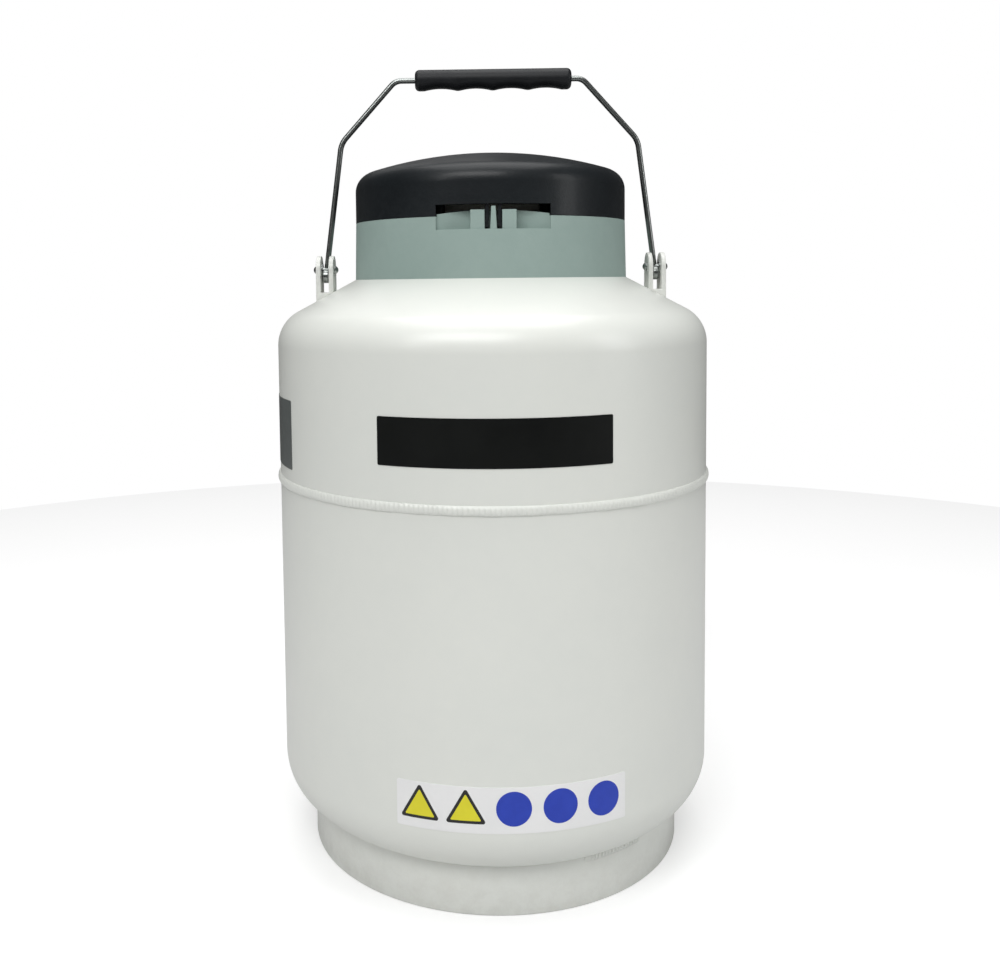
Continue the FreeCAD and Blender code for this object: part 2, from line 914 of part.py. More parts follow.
def canister_hook(number, bearing):
    """The wire stem that rises through the neck and hooks over the neck ring."""
    body = new_body(f"canister_hook_{number}")
    low = d.canister_floor + d.canister_height - d.stem_lap
    arm = d.neck_top + d.index_floor + d.stem_radius + d.screw_gap
    tip = d.neck_ring_radius + d.hook_reach
    stem = stem_circle()
    section = sketch_on(body, "XY_Plane", low)
    circle(section, stem, 0.0, d.stem_radius)
    path = sketch_on(body, "XZ_Plane")
    bent_path(
        path,
        [(stem, low), (stem, arm), (tip, arm), (tip, arm - d.hook_drop)],
        [d.stem_bend, d.stem_bend],
    )
    pipe = body.newObject("PartDesign::AdditivePipe", f"{body.Name}_pipe")
    pipe.Profile = section
    pipe.Spine = path
    place(body, angle=bearing)


def canister_rack():
    """The plate near the vessel's bottom whose holes hold the canisters in place."""
    low = d.canister_floor + d.rack_height
    hole = d.canister_radius + d.rack_clearance
    body = new_body("canister_rack")
    pad_round(body, 0.0, 0.0, low, d.rack_thickness, canister_circle() + hole + d.rack_rim)
    cut = drill(body, canister_circle(), 0.0, low, d.rack_thickness, hole)
    ring_of(body, [cut], d.canister_count)
    foot = crown_height(d.vessel_wall, d.rack_leg_circle + d.rack_leg, up=False)
    leg = pad_round(body, d.rack_leg_circle, 0.0, foot, low - foot, d.rack_leg)
    ring_of(body, [leg], 3)


# ---- vacuum port ----


def tilt_to_port(item, path):
    """Stands an object's placement square on the back of the shoulder."""
    height = cone_height(d.port_circle)
    across, along = cosine(d.port_bearing), sine(d.port_bearing)
    level = FreeCAD.Vector(-along, across, 0)
    spot = FreeCAD.Vector(d.port_circle * across, d.port_circle * along, height)
    tilt = FreeCAD.Rotation(level, float(d.shoulder_slope))
    setattr(item, path, FreeCAD.Placement(spot, tilt))
    bind(item, f"{path}.Base.x", d.port_circle * across)
    bind(item, f"{path}.Base.y", d.port_circle * along)
    bind(item, f"{path}.Base.z", height)
    bind(item, f"{path}.Rotation.Angle", d.shoulder_slope)


def vacuum_port():
    outer, wall = d.port_radius, d.port_wall
    inner = outer - wall
    ring_centre = d.port_rise / 2
    tube = turned(
        "vacuum_port_tube",
        [(inner, -d.port_sink), (outer, -d.port_sink), (outer, d.port_rise), (inner, d.port_rise)],
    )
    plug = turned(
        "vacuum_seal_plug",
        [
            (0.0, 0.0),
            (inner, 0.0),
            (inner, ring_centre - d.ring_groove),
            (inner - d.ring_groove, ring_centre - d.ring_groove),
            (inner - d.ring_groove, ring_centre + d.ring_groove),
            (inner, ring_centre + d.ring_groove),
            (inner, d.port_rise),
            (0.0, d.port_rise),
        ],
    )
    seal = new_body("vacuum_plug_seal")
    sketch = sketch_on(seal, "XZ_Plane")
    half = d.ring_groove / 2
    circle(sketch, inner - half, ring_centre, half)
    turn(seal, "Revolution", sketch)
    hollow = outer + d.port_gap
    cap_radius = hollow + d.port_cap_wall
    under = d.port_rise + d.port_gap
    top = under + d.port_cap_top
    cap = turned(
        "vacuum_port_cap",
        [
            (0.0, under),
            (hollow, under),
            (hollow, d.port_gap),
            (cap_radius, d.port_gap),
            (cap_radius, top - d.port_cap_top / 2),
            (cap_radius - d.port_cap_top / 2, top, d.port_cap_top / 2),
            (0.0, top),
        ],
    )
    for body in (tube, plug, seal, cap):
        tilt_to_port(body, "Placement")


# ---- collar ----


def collar():
    outer, wall = d.collar_radius, d.collar_wall
    foot_radius = outer + d.collar_draft
    inner = outer - wall
    under_deck = d.deck_height - d.deck_thickness
    lip = d.deck_inner + d.deck_thickness
    body = turned(
        "collar",
        [
            (foot_radius, d.collar_foot),
            (outer, d.collar_top),
            (inner, d.collar_top),
            (inner, d.deck_height),
            (d.deck_inner, d.deck_height),
            (d.deck_inner, d.land_height),
            (lip, d.land_height),
            (lip, under_deck),
            (inner, under_deck),
            (inner, cone_height(inner)),
        ],
    )
    collar_pillars(body)
    collar_window(body)


def collar_pillars(body):
    low = d.land_height + d.stud_height
    under_deck = d.deck_height - d.deck_thickness
    pillar = pad_round(body, d.pillar_circle, 0.0, low, under_deck - low, d.pillar_radius)
    ring_of(body, [pillar], d.screw_count)
    hole = drill(body, d.pillar_circle, 0.0, low, d.deck_height - low, d.screw_radius + d.screw_gap)
    ring_of(body, [hole], d.screw_count)


def collar_window(body):
    half, back, wall = d.window_half, d.window_back, d.window_wall
    outside = d.collar_radius + d.collar_draft + OVERRUN
    opening = sketch_on(body, "XZ_Plane", outside)
    box_outline(opening, -half, half, d.window_low, d.collar_top + OVERRUN)
    feature_of(body, "Pocket", opening, outside - back + wall)
    ends = half + d.screen_reach
    sill = sketch_on(body, "XY_Plane", d.window_low - wall)
    sill_radius = d.collar_radius - d.collar_wall / 2
    depth = root(sill_radius * sill_radius - ends * ends)
    outline(
        sill,
        [(-ends, -depth), (ends, -depth, sill_radius), (ends, wall - back), (-ends, wall - back)],
    )
    feature_of(body, "Pad", sill, wall)
    screen = sketch_on(body, "XZ_Plane", back - wall)
    top, rise = d.window_back_top, d.window_rise
    near = half - d.window_clear
    arch = (near * near + rise * rise) / (rise * 2)
    low = d.window_low - wall
    rim = d.collar_top
    outline(
        screen,
        [
            (-ends, low),
            (ends, low),
            (ends, rim),
            (near, rim),
            (near, top),
            (-near, top, arch),
            (-near, rim),
            (-ends, rim),
        ],
    )
    feature_of(body, "Pad", screen, wall)
    posts = sketch_on(body, "XZ_Plane", back - wall)
    for side in (-1, 1):
        near, far = d.post_near * side, d.post_far * side
        box_outline(posts, near, far, low, top + rise - d.post_drop)
    feature_of(body, "Pad", posts, d.post_front - back + wall)
    rib = sketch_on(body, "XZ_Plane", back - wall)
    wide, narrow = d.rib_half_low, d.rib_half_high
    outline(rib, [(-wide, low), (wide, low), (narrow, d.rib_top), (-narrow, d.rib_top)])
    feature_of(body, "Pad", rib, d.collar_radius - back + wall - d.rib_inset)
    lock_bore(body)


def lock_bore(body):
    """The hole along X for a seal wire or a small padlock."""
    bore = sketch_on(body, "YZ_Plane")
    circle(bore, -d.lock_depth, d.lock_height, d.lock_hole)
    feature_of(body, "Pocket", bore, d.post_far * 2 + 2, both=True)


def collar_studs():
    body = new_body("collar_studs")
    stud = pad_round(body, d.pillar_circle, 0.0, d.land_height, d.stud_height, d.stud_radius)
    hole = drill(body, d.pillar_circle, 0.0, d.land_height, d.stud_height, d.screw_radius)
    ring_of(body, [stud, hole], d.screw_count)


def screws(name, circle_radius, count, low, high, head_low):
    """Pan-head screws on a circle, from low to high, with their heads at head_low."""
    body = new_body(name)
    shank = pad_round(body, circle_radius, 0.0, low, high - low, d.screw_radius)
    head = pad_round(body, circle_radius, 0.0, head_low, d.screw_head_height, d.screw_head)
    ring_of(body, [shank, head], count)


# ---- lid ----


def lid_profile(inset):
    """Wall top, knuckle end and pole of the lid's dome, set in by inset."""
    level = d.collar_radius - d.lid_knuckle
    reach = d.lid_crown - d.lid_knuckle
    tall = root(reach * reach - level * level)
    centre = d.lid_top - d.lid_crown
    small = d.lid_knuckle - inset
    size = d.lid_crown - inset
    start = (d.collar_radius - inset, centre + tall)
    end = (level * size / reach, centre + tall * size / reach)
    return start, end, (0.0, centre + size), small, size


def dome_height(inset, radius):
    size = d.lid_crown - inset
    return d.lid_top - d.lid_crown + root(size * size - radius * radius)


def lid_shell():
    o_start, o_end, o_pole, o_small, o_size = lid_profile(0.0)
    i_start, i_end, i_pole, i_small, i_size = lid_profile(d.lid_wall)
    low = d.collar_top + d.seam_gap
    spigot_outer = d.collar_radius - d.collar_wall - d.spigot_gap
    spigot_inner = spigot_outer - d.spigot_wall
    body = turned(
        "lid_shell",
        [
            (d.collar_radius, low),
            o_start,
            (*o_end, o_small),
            (*o_pole, o_size),
            i_pole,
            (*i_end, -i_size),
            (*i_start, -i_small),
            (i_start[0], d.spigot_high),
            (spigot_inner, d.spigot_high),
            (spigot_inner, d.spigot_low),
            (spigot_outer, d.spigot_low),
            (spigot_outer, low),
        ],
    )
    boss_low = d.plate_low + d.plate_thickness
    top = dome_height(d.lid_wall / 2, d.boss_circle + d.boss_radius)
    boss = pad_round(body, d.boss_circle, 0.0, boss_low, top - boss_low, d.boss_radius)
    ring_of(body, [boss], d.boss_count)
    hole = drill(body, d.boss_circle, 0.0, boss_low, d.boss_radius * 2, d.screw_radius)
    ring_of(body, [hole], d.boss_count)
    lid_window(body)


def lid_window(body):
    half = d.window_half
    outside = d.collar_radius + OVERRUN
    spigot_inner = d.collar_radius - d.collar_wall - d.spigot_gap - d.spigot_wall
    opening = sketch_on(body, "XZ_Plane", outside)
    box_outline(opening, -d.spigot_break, d.spigot_break, d.spigot_low - OVERRUN, d.window_high)
    depth = root(spigot_inner * spigot_inner - d.spigot_break * d.spigot_break)
    inside = outside - depth + d.spigot_wall
    clear = d.collar_radius - d.lid_wall
    edge = root(clear * clear - half * half)
    feature_of(body, "Pocket", opening, inside)
    cheek(body, edge)
    prongs = sketch_on(body, "XZ_Plane", d.prong_back)
    for side in (-1, 1):
        box_outline(prongs, d.prong_near * side, d.prong_far * side, d.prong_low, d.window_high + OVERRUN)
    feature_of(body, "Pad", prongs, d.prong_front - d.prong_back)
    lock_bore(body)


def cheek(body, edge):
    """Fills the skirt back in between the window's ends and the spigot's break."""
    low = d.collar_top + d.seam_gap
    inner, outer = d.collar_radius - d.lid_wall, d.collar_radius
    for side in (-1, 1):
        sketch = sketch_on(body, "XY_Plane", low)
        near, far = d.window_half, d.spigot_break + d.cheek_lap
        in_near, in_far = edge, root(inner * inner - far * far)
        out_near, out_far = root(outer * outer - near * near), root(outer * outer - far * far)
        outline(
            sketch,
            [
                (near * side, -in_near),
                (near * side, -out_near),
                (far * side, -out_far, outer * side),
                (far * side, -in_far),
            ],
        )
        feature_of(body, "Pad", sketch, d.window_high - low)


def lid_base_plate():
    low, thick = d.plate_low, d.plate_thickness
    body = new_body("lid_base_plate")
    pad_round(body, 0.0, 0.0, low, thick, d.plate_radius)
    drill(body, 0.0, 0.0, low, thick, d.plug_rod)
    hole = drill(body, d.boss_circle, 0.0, low, thick, d.screw_radius + d.screw_gap)
    ring_of(body, [hole], d.boss_count)


def lid_filler():
    """The foam disc inside the lid."""
    radius = d.filler_radius
    inset = d.lid_wall + d.filler_gap
    turned(
        "lid_filler",
        [
            (0.0, d.filler_low),
            (radius, d.filler_low),
            (radius, dome_height(inset, radius)),
            (0.0, d.lid_top - inset, d.lid_crown - inset),
        ],
    )


def lid_seal():
    low = d.deck_height + d.seam_gap
    half = (d.plate_low - low) / 2
    ring("lid_seal", d.seal_inner, d.seal_outer, low + half, half)


def neck_plug():
    """The foam plug, with a groove along it for each canister stem."""
    low = d.plate_low - d.plug_length
    radius = d.neck_bore - d.plug_gap
    body = new_body("neck_plug")
    pad_round(body, 0.0, 0.0, low, d.plug_length, radius)
    drill(body, 0.0, 0.0, d.plate_low - d.plug_rod_reach, d.plug_rod_reach, d.plug_rod)
    side = d.stem_radius + d.plug_groove_gap
    sketch = sketch_on(body, "XY_Plane", low)
    box_outline(sketch, stem_circle() - side, d.neck_bore + OVERRUN, -side, side)
    groove = feature_of(body, "Pocket", sketch, d.plug_length, reverse=True)
    ring_of(body, [groove], d.canister_count)


def plug_fixings():
    top = d.plate_low + d.plate_thickness
    rod = new_body("plug_rod")
    length = d.plug_rod_reach + d.plate_thickness + d.plug_rod_rise
    pad_round(rod, 0.0, 0.0, d.plate_low - d.plug_rod_reach, length, d.plug_rod)
    half = d.washer_thickness / 2
    ring("plug_washer", d.plug_rod, d.washer_radius, top + half, half)
    nut = new_body("plug_nut")
    sketch = sketch_on(nut, "XY_Plane", top + d.washer_thickness)
    corners = [
        (d.nut_radius * cosine(60.0 * step), d.nut_radius * sine(60.0 * step)) for step in range(6)
    ]
    outline(sketch, corners)
    feature_of(nut, "Pad", sketch, d.nut_height)
    drill(nut, 0.0, 0.0, top + d.washer_thickness, d.nut_height, d.plug_rod)


# ---- bail ----


def bracket(name, bearing):
    """A clevis with two round-topped ears, seated on the shoulder's cone."""
    body = new_body(name)
    wide = d.ear_gap + d.ear_wall * 2
    inner = d.pivot_side - wide / 2
    ears = sketch_on(body, "YZ_Plane", inner)
    side = d.ear_radius
    outline(
        ears,
        [
            (-side, d.ear_root),
            (side, d.ear_root),
            (side, d.pivot_height),
            (0.0, d.pivot_height + side, side),
            (-side, d.pivot_height, side),
        ],
    )
    feature_of(body, "Pad", ears, wide)
    slot = sketch_on(body, "XZ_Plane")
    half = d.ear_gap / 2
    top = d.pivot_height + d.ear_radius + OVERRUN
    box_outline(slot, d.pivot_side - half, d.pivot_side + half, d.ear_floor, top)
    feature_of(body, "Pocket", slot, d.ear_radius * THROUGH, both=True)
    pin = sketch_on(body, "YZ_Plane", d.pivot_side)
    circle(pin, 0.0, d.pivot_height, d.pivot_pin)
    feature_of(body, "Pocket", pin, wide * 2, both=True)
    seat_on_shoulder(body)
    place(body, angle=bearing)


def seat_on_shoulder(body):
    """Takes the shoulder's outer shape off whatever reaches into it."""
    start, end, _ = shoulder_corners(0.0)
    near, low = d.collar_radius, start[1] - d.shell_wall
    sketch = sketch_on(body, "XZ_Plane")
    outline(
        sketch,
        [
            (near, low),
            (d.shell_radius, low),
            start,
            (*end, d.shoulder_round),
            (near, cone_height(near)),
        ],
    )
    turn(body, "Groove", sketch)


def pivot_rivet(name, bearing):
    """A domed rivet through both ears, turned about X."""
    wide = d.ear_gap + d.ear_wall * 2
    head, rise, pin = d.rivet_head, d.rivet_head_height, d.pivot_pin
    dome = (head * head + rise * rise) / (rise * 2)
    body = turned(
        name,
        [
            (0.0, -rise),
            (head, 0.0, dome),
            (pin, 0.0),
            (pin, wide),
            (head, wide),
            (0.0, wide + rise, dome),
        ],
    )
    on_pivot(body, d.pivot_side - wide / 2, bearing)


def on_pivot(body, start, bearing):
    """Lays a turned piece's own Z axis along the pivot, beginning at start."""
    side = 1 if bearing == 0 else -1
    place(body, start * side, 0.0, d.pivot_height, FreeCAD.Vector(0, 1, 0), 90.0 * side)


def pivot_washers(name, bearing):
    """Two plastic washers, one each side of the wire's eye."""
    space = (d.ear_gap - d.eye_thickness) / 2 - d.side_gap
    radius, pin = d.eye_radius, d.pivot_pin
    body = new_body(name)
    for start in (0.0, d.ear_gap - space):
        sketch = sketch_on(body, "XY_Plane", start)
        circle(sketch, 0.0, 0.0, radius)
        circle(sketch, 0.0, 0.0, pin)
        feature_of(body, "Pad", sketch, space)
    on_pivot(body, d.pivot_side - d.ear_gap / 2, bearing)


def bail_wire():
    body = new_body("bail_wire")
    low = d.pivot_height + d.eye_lap
    lean = d.pivot_height + d.eye_radius + d.shank_rise
    section = sketch_on(body, "XY_Plane", low)
    circle(section, -d.pivot_side, 0.0, d.wire_radius)
    path = sketch_on(body, "XZ_Plane")
    left = [
        (-d.pivot_side, low),
        (-d.pivot_side, lean),
        (-d.knee_side, d.knee_height),
        (-d.top_side, d.top_height),
    ]
    right = [(-x, z) for x, z in reversed(left)]
    bends = [d.shank_bend, d.knee_bend, d.top_bend]
    bent_path(path, left + right, bends + bends[::-1])
    pipe = body.newObject("PartDesign::AdditivePipe", "bail_wire_pipe")
    pipe.Profile = section
    pipe.Spine = path
    for side in (-1, 1):
        eye = sketch_on(body, "YZ_Plane", d.pivot_side * side)
        radius = d.eye_radius
        tail = d.pivot_height - d.eye_tail + radius
        crown = d.pivot_height + d.eye_lap
        outline(
            eye,
            [
                (-radius, tail),
                (0.0, tail - radius, radius),
                (radius, tail, radius),
                (radius, crown),
                (0.0, crown + radius, radius),
                (-radius, crown, radius),
            ],
        )
        feature_of(body, "Pad", eye, d.eye_thickness, both=True)
    bore = sketch_on(body, "YZ_Plane")
    circle(bore, 0.0, d.pivot_height, d.pivot_pin + d.pivot_running_gap)
    feature_of(body, "Pocket", bore, d.pivot_side * THROUGH, both=True)


def grip():
    body = new_body("grip")
    start = d.grip_shift - d.grip_length / 2
    sketch = sketch_on(body, "YZ_Plane", start)
    circle(sketch, 0.0, d.top_height, d.grip_radius)
    feature_of(body, "Pad", sketch, d.grip_length)
    round_edges(body, d.grip_end, lambda edge: edge.Closed and edge.BoundBox.XLength < TINY)
    tunnel = sketch_on(body, "YZ_Plane", start)
    circle(tunnel, 0.0, d.top_height, d.wire_radius)
    feature_of(body, "Pocket", tunnel, d.grip_length * 2, both=True)
    low = d.top_height - d.grip_radius
    half, depth = d.finger_half, d.finger_depth
    bulge = (half * half + depth * depth) / (depth * 2)
    fingers = sketch_on(body, "XZ_Plane")
    for number in range(int(d.finger_count)):
        middle = d.grip_shift + d.finger_pitch * (number - (float(d.finger_count) - 1) / 2)
        outline(
            fingers,
            [
                (middle - half, low - OVERRUN),
                (middle + half, low - OVERRUN),
                (middle + half, low),
                (middle - half, low, bulge),
            ],
        )
    feature_of(body, "Pocket", fingers, d.grip_radius * THROUGH, both=True)


# ---- label films ----


def label_film(name, start, end, low, width):
    outer = d.shell_radius + d.film
    high = low + width
    body = turned(
        name, [(d.shell_radius, low), (outer, low), (outer, high), (d.shell_radius, high)], end - start
    )
    place(body, angle=start - 90)


# ---- the whole object ----


def build():
    outer_shell_lower()
    outer_shell_upper()
    girth_weld_bead()
    weld_backing_ring()
    foot_ring()
    foot_stitch_welds()
    neck_tube()
    neck_top_ring()
    neck_bottom_cuff()
    index_ring()
    inner_vessel_lower()
    inner_vessel_upper()
    inner_weld_bead()
    insulation_wrap()
    getter_packet()
    canister_rack()
    for number in range(int(d.canister_count)):
        bearing = number * 360.0 / float(d.canister_count)
        canister_cup(number + 1, bearing)
        canister_hook(number + 1, bearing)
    vacuum_port()
    collar()
    collar_studs()
    screws(
        "collar_screws",
        d.pillar_circle,
        d.screw_count,
        d.land_height,
        d.deck_height,
        d.deck_height,
    )
    lid_shell()
    lid_base_plate()
    plate_top = d.plate_low + d.plate_thickness
    screws(
        "lid_plate_screws",
        d.boss_circle,
        d.boss_count,
        d.plate_low,
        plate_top + d.boss_radius,
        d.plate_low - d.screw_head_height,
    )
    lid_filler()
    lid_seal()
    neck_plug()
    plug_fixings()
    for side, bearing in (("right", 0.0), ("left", 180.0)):
        bracket(f"bracket_{side}", bearing)
        pivot_rivet(f"pivot_rivet_{side}", bearing)
        pivot_washers(f"pivot_washers_{side}", bearing)
    bail_wire()
    grip()
    label_film(
        "front_label", d.front_film_start, d.front_film_end, d.front_film_low, d.front_film_width
    )
    label_film("side_label", d.side_film_start, d.side_film_end, d.side_film_low, d.side_film_width)
    label_film(
        "safety_label", d.safety_film_start, d.safety_film_end, d.safety_film_low, d.safety_film_width
    )


def check():
    """Stops before anything is written if an object failed or a shape isn't sound."""
    doc.recompute()
    for item in doc.Objects:
        if "Invalid" in item.State or "Error" in item.State:
            raise RuntimeError(f"{item.Label} failed: {item.State}")
    for body in SUB_PARTS:
        if body.Shape.isNull() or not body.Shape.isValid() or not body.Shape.Solids:
            raise RuntimeError(f"{body.Label} has no sound shape")


def export():
    os.makedirs("parts", exist_ok=True)
    for body in SUB_PARTS:
        body.Shape.exportStep(f"parts/{body.Label}.step")


build()
check()
export()
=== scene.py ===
"""A small liquid nitrogen dewar: painted aluminium flask, foot ring, grey collar, black lid and wire bail.

Lengths are in millimetres while a piece is shaped, and each piece is put into metres when it is finished.
"""
import math

import bmesh
import bpy
from mathutils import Matrix, Vector


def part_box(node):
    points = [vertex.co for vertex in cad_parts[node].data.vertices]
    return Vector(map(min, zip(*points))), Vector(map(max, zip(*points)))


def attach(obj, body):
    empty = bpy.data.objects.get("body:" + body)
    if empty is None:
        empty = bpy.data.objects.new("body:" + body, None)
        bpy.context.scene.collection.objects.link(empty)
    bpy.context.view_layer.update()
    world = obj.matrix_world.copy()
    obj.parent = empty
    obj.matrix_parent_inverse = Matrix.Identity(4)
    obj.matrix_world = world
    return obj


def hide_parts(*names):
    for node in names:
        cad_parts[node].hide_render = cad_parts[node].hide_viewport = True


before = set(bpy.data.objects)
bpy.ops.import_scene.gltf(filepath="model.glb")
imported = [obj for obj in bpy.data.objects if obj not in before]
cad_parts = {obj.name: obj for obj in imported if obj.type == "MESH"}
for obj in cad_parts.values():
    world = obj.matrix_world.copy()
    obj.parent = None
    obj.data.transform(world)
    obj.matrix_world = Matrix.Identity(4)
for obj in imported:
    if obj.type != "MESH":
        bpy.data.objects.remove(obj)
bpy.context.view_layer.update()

MM = 0.001
WELD = 0.0005  # points nearer than this become one
ROUND_STEP = math.radians(5)
TURN_STEPS = 240
X_AXIS, Z_AXIS = (1, 0, 0), (0, 0, 1)
ORIGIN = (0, 0, 0)
QUARTER = math.pi / 2
CROWN_POINTS = 14
FLAT_TURN = math.radians(0.3)  # faces that turn less than this are one face


# ---- shaping ----


def span(node):
    """A node's lowest and highest corners, in millimetres."""
    low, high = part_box(node)
    return low / MM, high / MM


def arc(centre, radius, start, end, step=ROUND_STEP):
    """Points of an arc, with its angles measured from across towards up."""
    count = max(2, math.ceil(abs(end - start) / step))
    angles = [start + (end - start) * i / count for i in range(count + 1)]
    return [(centre[0] + radius * math.cos(a), centre[1] + radius * math.sin(a)) for a in angles]


def rounded(corners, closed=True, step=ROUND_STEP):
    """A line through corners, each (across, up, round), with an arc where the round is more than nothing."""
    points = []
    last = len(corners) - 1
    for i, (across, up, radius) in enumerate(corners):
        if radius == 0 or (not closed and i in (0, last)):
            points.append((across, up))
            continue
        here = Vector((across, up))
        back = (Vector(corners[i - 1][:2]) - here).normalized()
        ahead = (Vector(corners[(i + 1) % len(corners)][:2]) - here).normalized()
        half = back.angle(ahead) / 2
        centre = here + (back + ahead).normalized() * radius / math.sin(half)
        first = here + back * radius / math.tan(half) - centre
        turn = first.angle_signed(here + ahead * radius / math.tan(half) - centre)
        start = math.atan2(first.y, first.x)
        points += arc(centre, radius, start, start - turn, step)
    return points


def head(radius, tangent_height, crown, knuckle, way):
    """A dished end's outline from its pole to the wall: way is 1 for a top and -1 for a bottom."""
    lean = math.asin((radius - knuckle) / (crown - knuckle))
    centre = tangent_height - way * (crown - knuckle) * math.cos(lean)
    crown_arc = arc((0, centre), crown, way * QUARTER, way * (QUARTER - lean), lean / CROWN_POINTS)
    knuckle_arc = arc((radius - knuckle, tangent_height), knuckle, way * (QUARTER - lean), 0)
    return crown_arc + knuckle_arc[1:]


def turned(outline, steps=TURN_STEPS, sweep=math.tau, start=0.0):
    """A closed outline, each point (radius, height), turned about the upright axis."""
    shape = bmesh.new()
    chain = [shape.verts.new((across, 0, up)) for across, up in outline]
    edges = [shape.edges.new(pair) for pair in zip(chain, chain[1:] + chain[:1])]
    whole = abs(sweep - math.tau) < WELD
    bmesh.ops.rotate(shape, verts=chain, cent=ORIGIN, matrix=Matrix.Rotation(start, 3, "Z"))
    made = bmesh.ops.spin(
        shape, geom=chain + edges, axis=Z_AXIS, cent=ORIGIN, angle=sweep, steps=steps, use_merge=whole
    )
    if not whole:
        bmesh.ops.contextual_create(shape, geom=edges)
        ending = [item for item in made["geom_last"] if isinstance(item, bmesh.types.BMEdge)]
        bmesh.ops.contextual_create(shape, geom=ending)
    bmesh.ops.remove_doubles(shape, verts=shape.verts, dist=WELD)
    bmesh.ops.recalc_face_normals(shape, faces=shape.faces)
    return shape


def laid_over(shape, axis):
    """Turns a shape a quarter turn about an axis."""
    bmesh.ops.rotate(shape, verts=shape.verts, cent=ORIGIN, matrix=Matrix.Rotation(QUARTER, 3, axis))


def moved(shape, vector):
    bmesh.ops.translate(shape, verts=shape.verts, vec=vector)


def joined(target, *others):
    """Adds the other shapes to the first, each as it lies."""
    for other in others:
        carrier = bpy.data.meshes.new("carrier")
        other.to_mesh(carrier)
        other.free()
        target.from_mesh(carrier)
        bpy.data.meshes.remove(carrier)
    return target


def piece(name, shape, body, finishes, slot, *nodes, sharp=38):
    """Makes an object of a shape, in metres, with the body it rides on and the nodes it stands for."""
    bmesh.ops.scale(shape, vec=(MM, MM, MM), verts=shape.verts)
    mesh = bpy.data.meshes.new(name)
    shape.to_mesh(mesh)
    shape.free()
    mesh.shade_smooth()
    mesh.set_sharp_from_angle(angle=math.radians(sharp))
    made = bpy.data.objects.new(name, mesh)
    bpy.context.scene.collection.objects.link(made)
    for finish in finishes:
        mesh.materials.append(finish)
    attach(made, body)
    if nodes:
        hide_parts(*nodes)
    return made


def evenly_lit(made):
    """Shades a piece by its larger faces, so that long flat strips read as one curve."""
    made.modifiers.new("even_shading", "WEIGHTED_NORMAL").keep_sharp = True


def eased(node, width, turn=30, segments=2):
    """A copy of a node's shape, with its edges eased."""
    shape = bmesh.new()
    shape.from_mesh(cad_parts[node].data)
    bmesh.ops.scale(shape, vec=(1 / MM, 1 / MM, 1 / MM), verts=shape.verts)
    bmesh.ops.remove_doubles(shape, verts=shape.verts, dist=WELD)
    bmesh.ops.dissolve_limit(
        shape, angle_limit=FLAT_TURN, verts=shape.verts, edges=shape.edges, delimit={"NORMAL"}
    )
    corners = [e for e in shape.edges if e.is_manifold and e.calc_face_angle(0) > math.radians(turn)]
    bmesh.ops.bevel(
        shape, geom=corners, offset=width, segments=segments, profile=0.5, affect="EDGES",
        clamp_overlap=True, material=-1,
    )
    return shape


# ---- shader tools ----


def add(tree, kind, settings=None, **inputs):
    """Puts a node in a tree. Each input is a plain value, or the output of another node.

    An input is named by its label, with _ for a space, or by i and its number where labels repeat.
    """
    node = tree.nodes.new(kind)
    for key, value in (settings or {}).items():
        setattr(node, key, value)
    for key, value in inputs.items():
        numbered = key[0] == "i" and key[1:].isdigit()
        socket = node.inputs[int(key[1:]) if numbered else key.replace("_", " ")]
        if isinstance(value, bpy.types.NodeSocket):
            tree.links.new(value, socket)
        else:
            socket.default_value = value
    return node


def calc(tree, operation, first, second=0.0, clamp=False):
    node = add(tree, "ShaderNodeMath", {"operation": operation, "use_clamp": clamp}, i0=first, i1=second)
    return node.outputs[0]


def remap(tree, value, low, high, to_low=0.0, to_high=1.0):
    node = add(
        tree, "ShaderNodeMapRange", Value=value, From_Min=low, From_Max=high, To_Min=to_low, To_Max=to_high
    )
    return node.outputs["Result"]


def blend(tree, factor, first, second):
    node = add(tree, "ShaderNodeMix", {"data_type": "RGBA"}, i0=factor, i6=first, i7=second)
    return node.outputs[2]


def effect(name, inputs, outputs):
    """A new node group with named inputs, each with its usual value, and named outputs."""
    tree = bpy.data.node_groups.new(name, "ShaderNodeTree")
    for label, usual in inputs.items():
        kind = "NodeSocketFloat" if isinstance(usual, (int, float)) else "NodeSocketColor"
        tree.interface.new_socket(name=label, in_out="INPUT", socket_type=kind).default_value = usual
    for label, kind in outputs.items():
        tree.interface.new_socket(name=label, in_out="OUTPUT", socket_type=kind)
    return tree, tree.nodes.new("NodeGroupInput").outputs, tree.nodes.new("NodeGroupOutput").inputs


def use(tree, group, **inputs):
    """Places an effect in a finish, with values of its own."""
    node = add(tree, "ShaderNodeGroup", {"node_tree": group})
    for key, value in inputs.items():
        node.inputs[key.replace("_", " ")].default_value = value
    return node.outputs


# ---- effects shared by the finishes ----


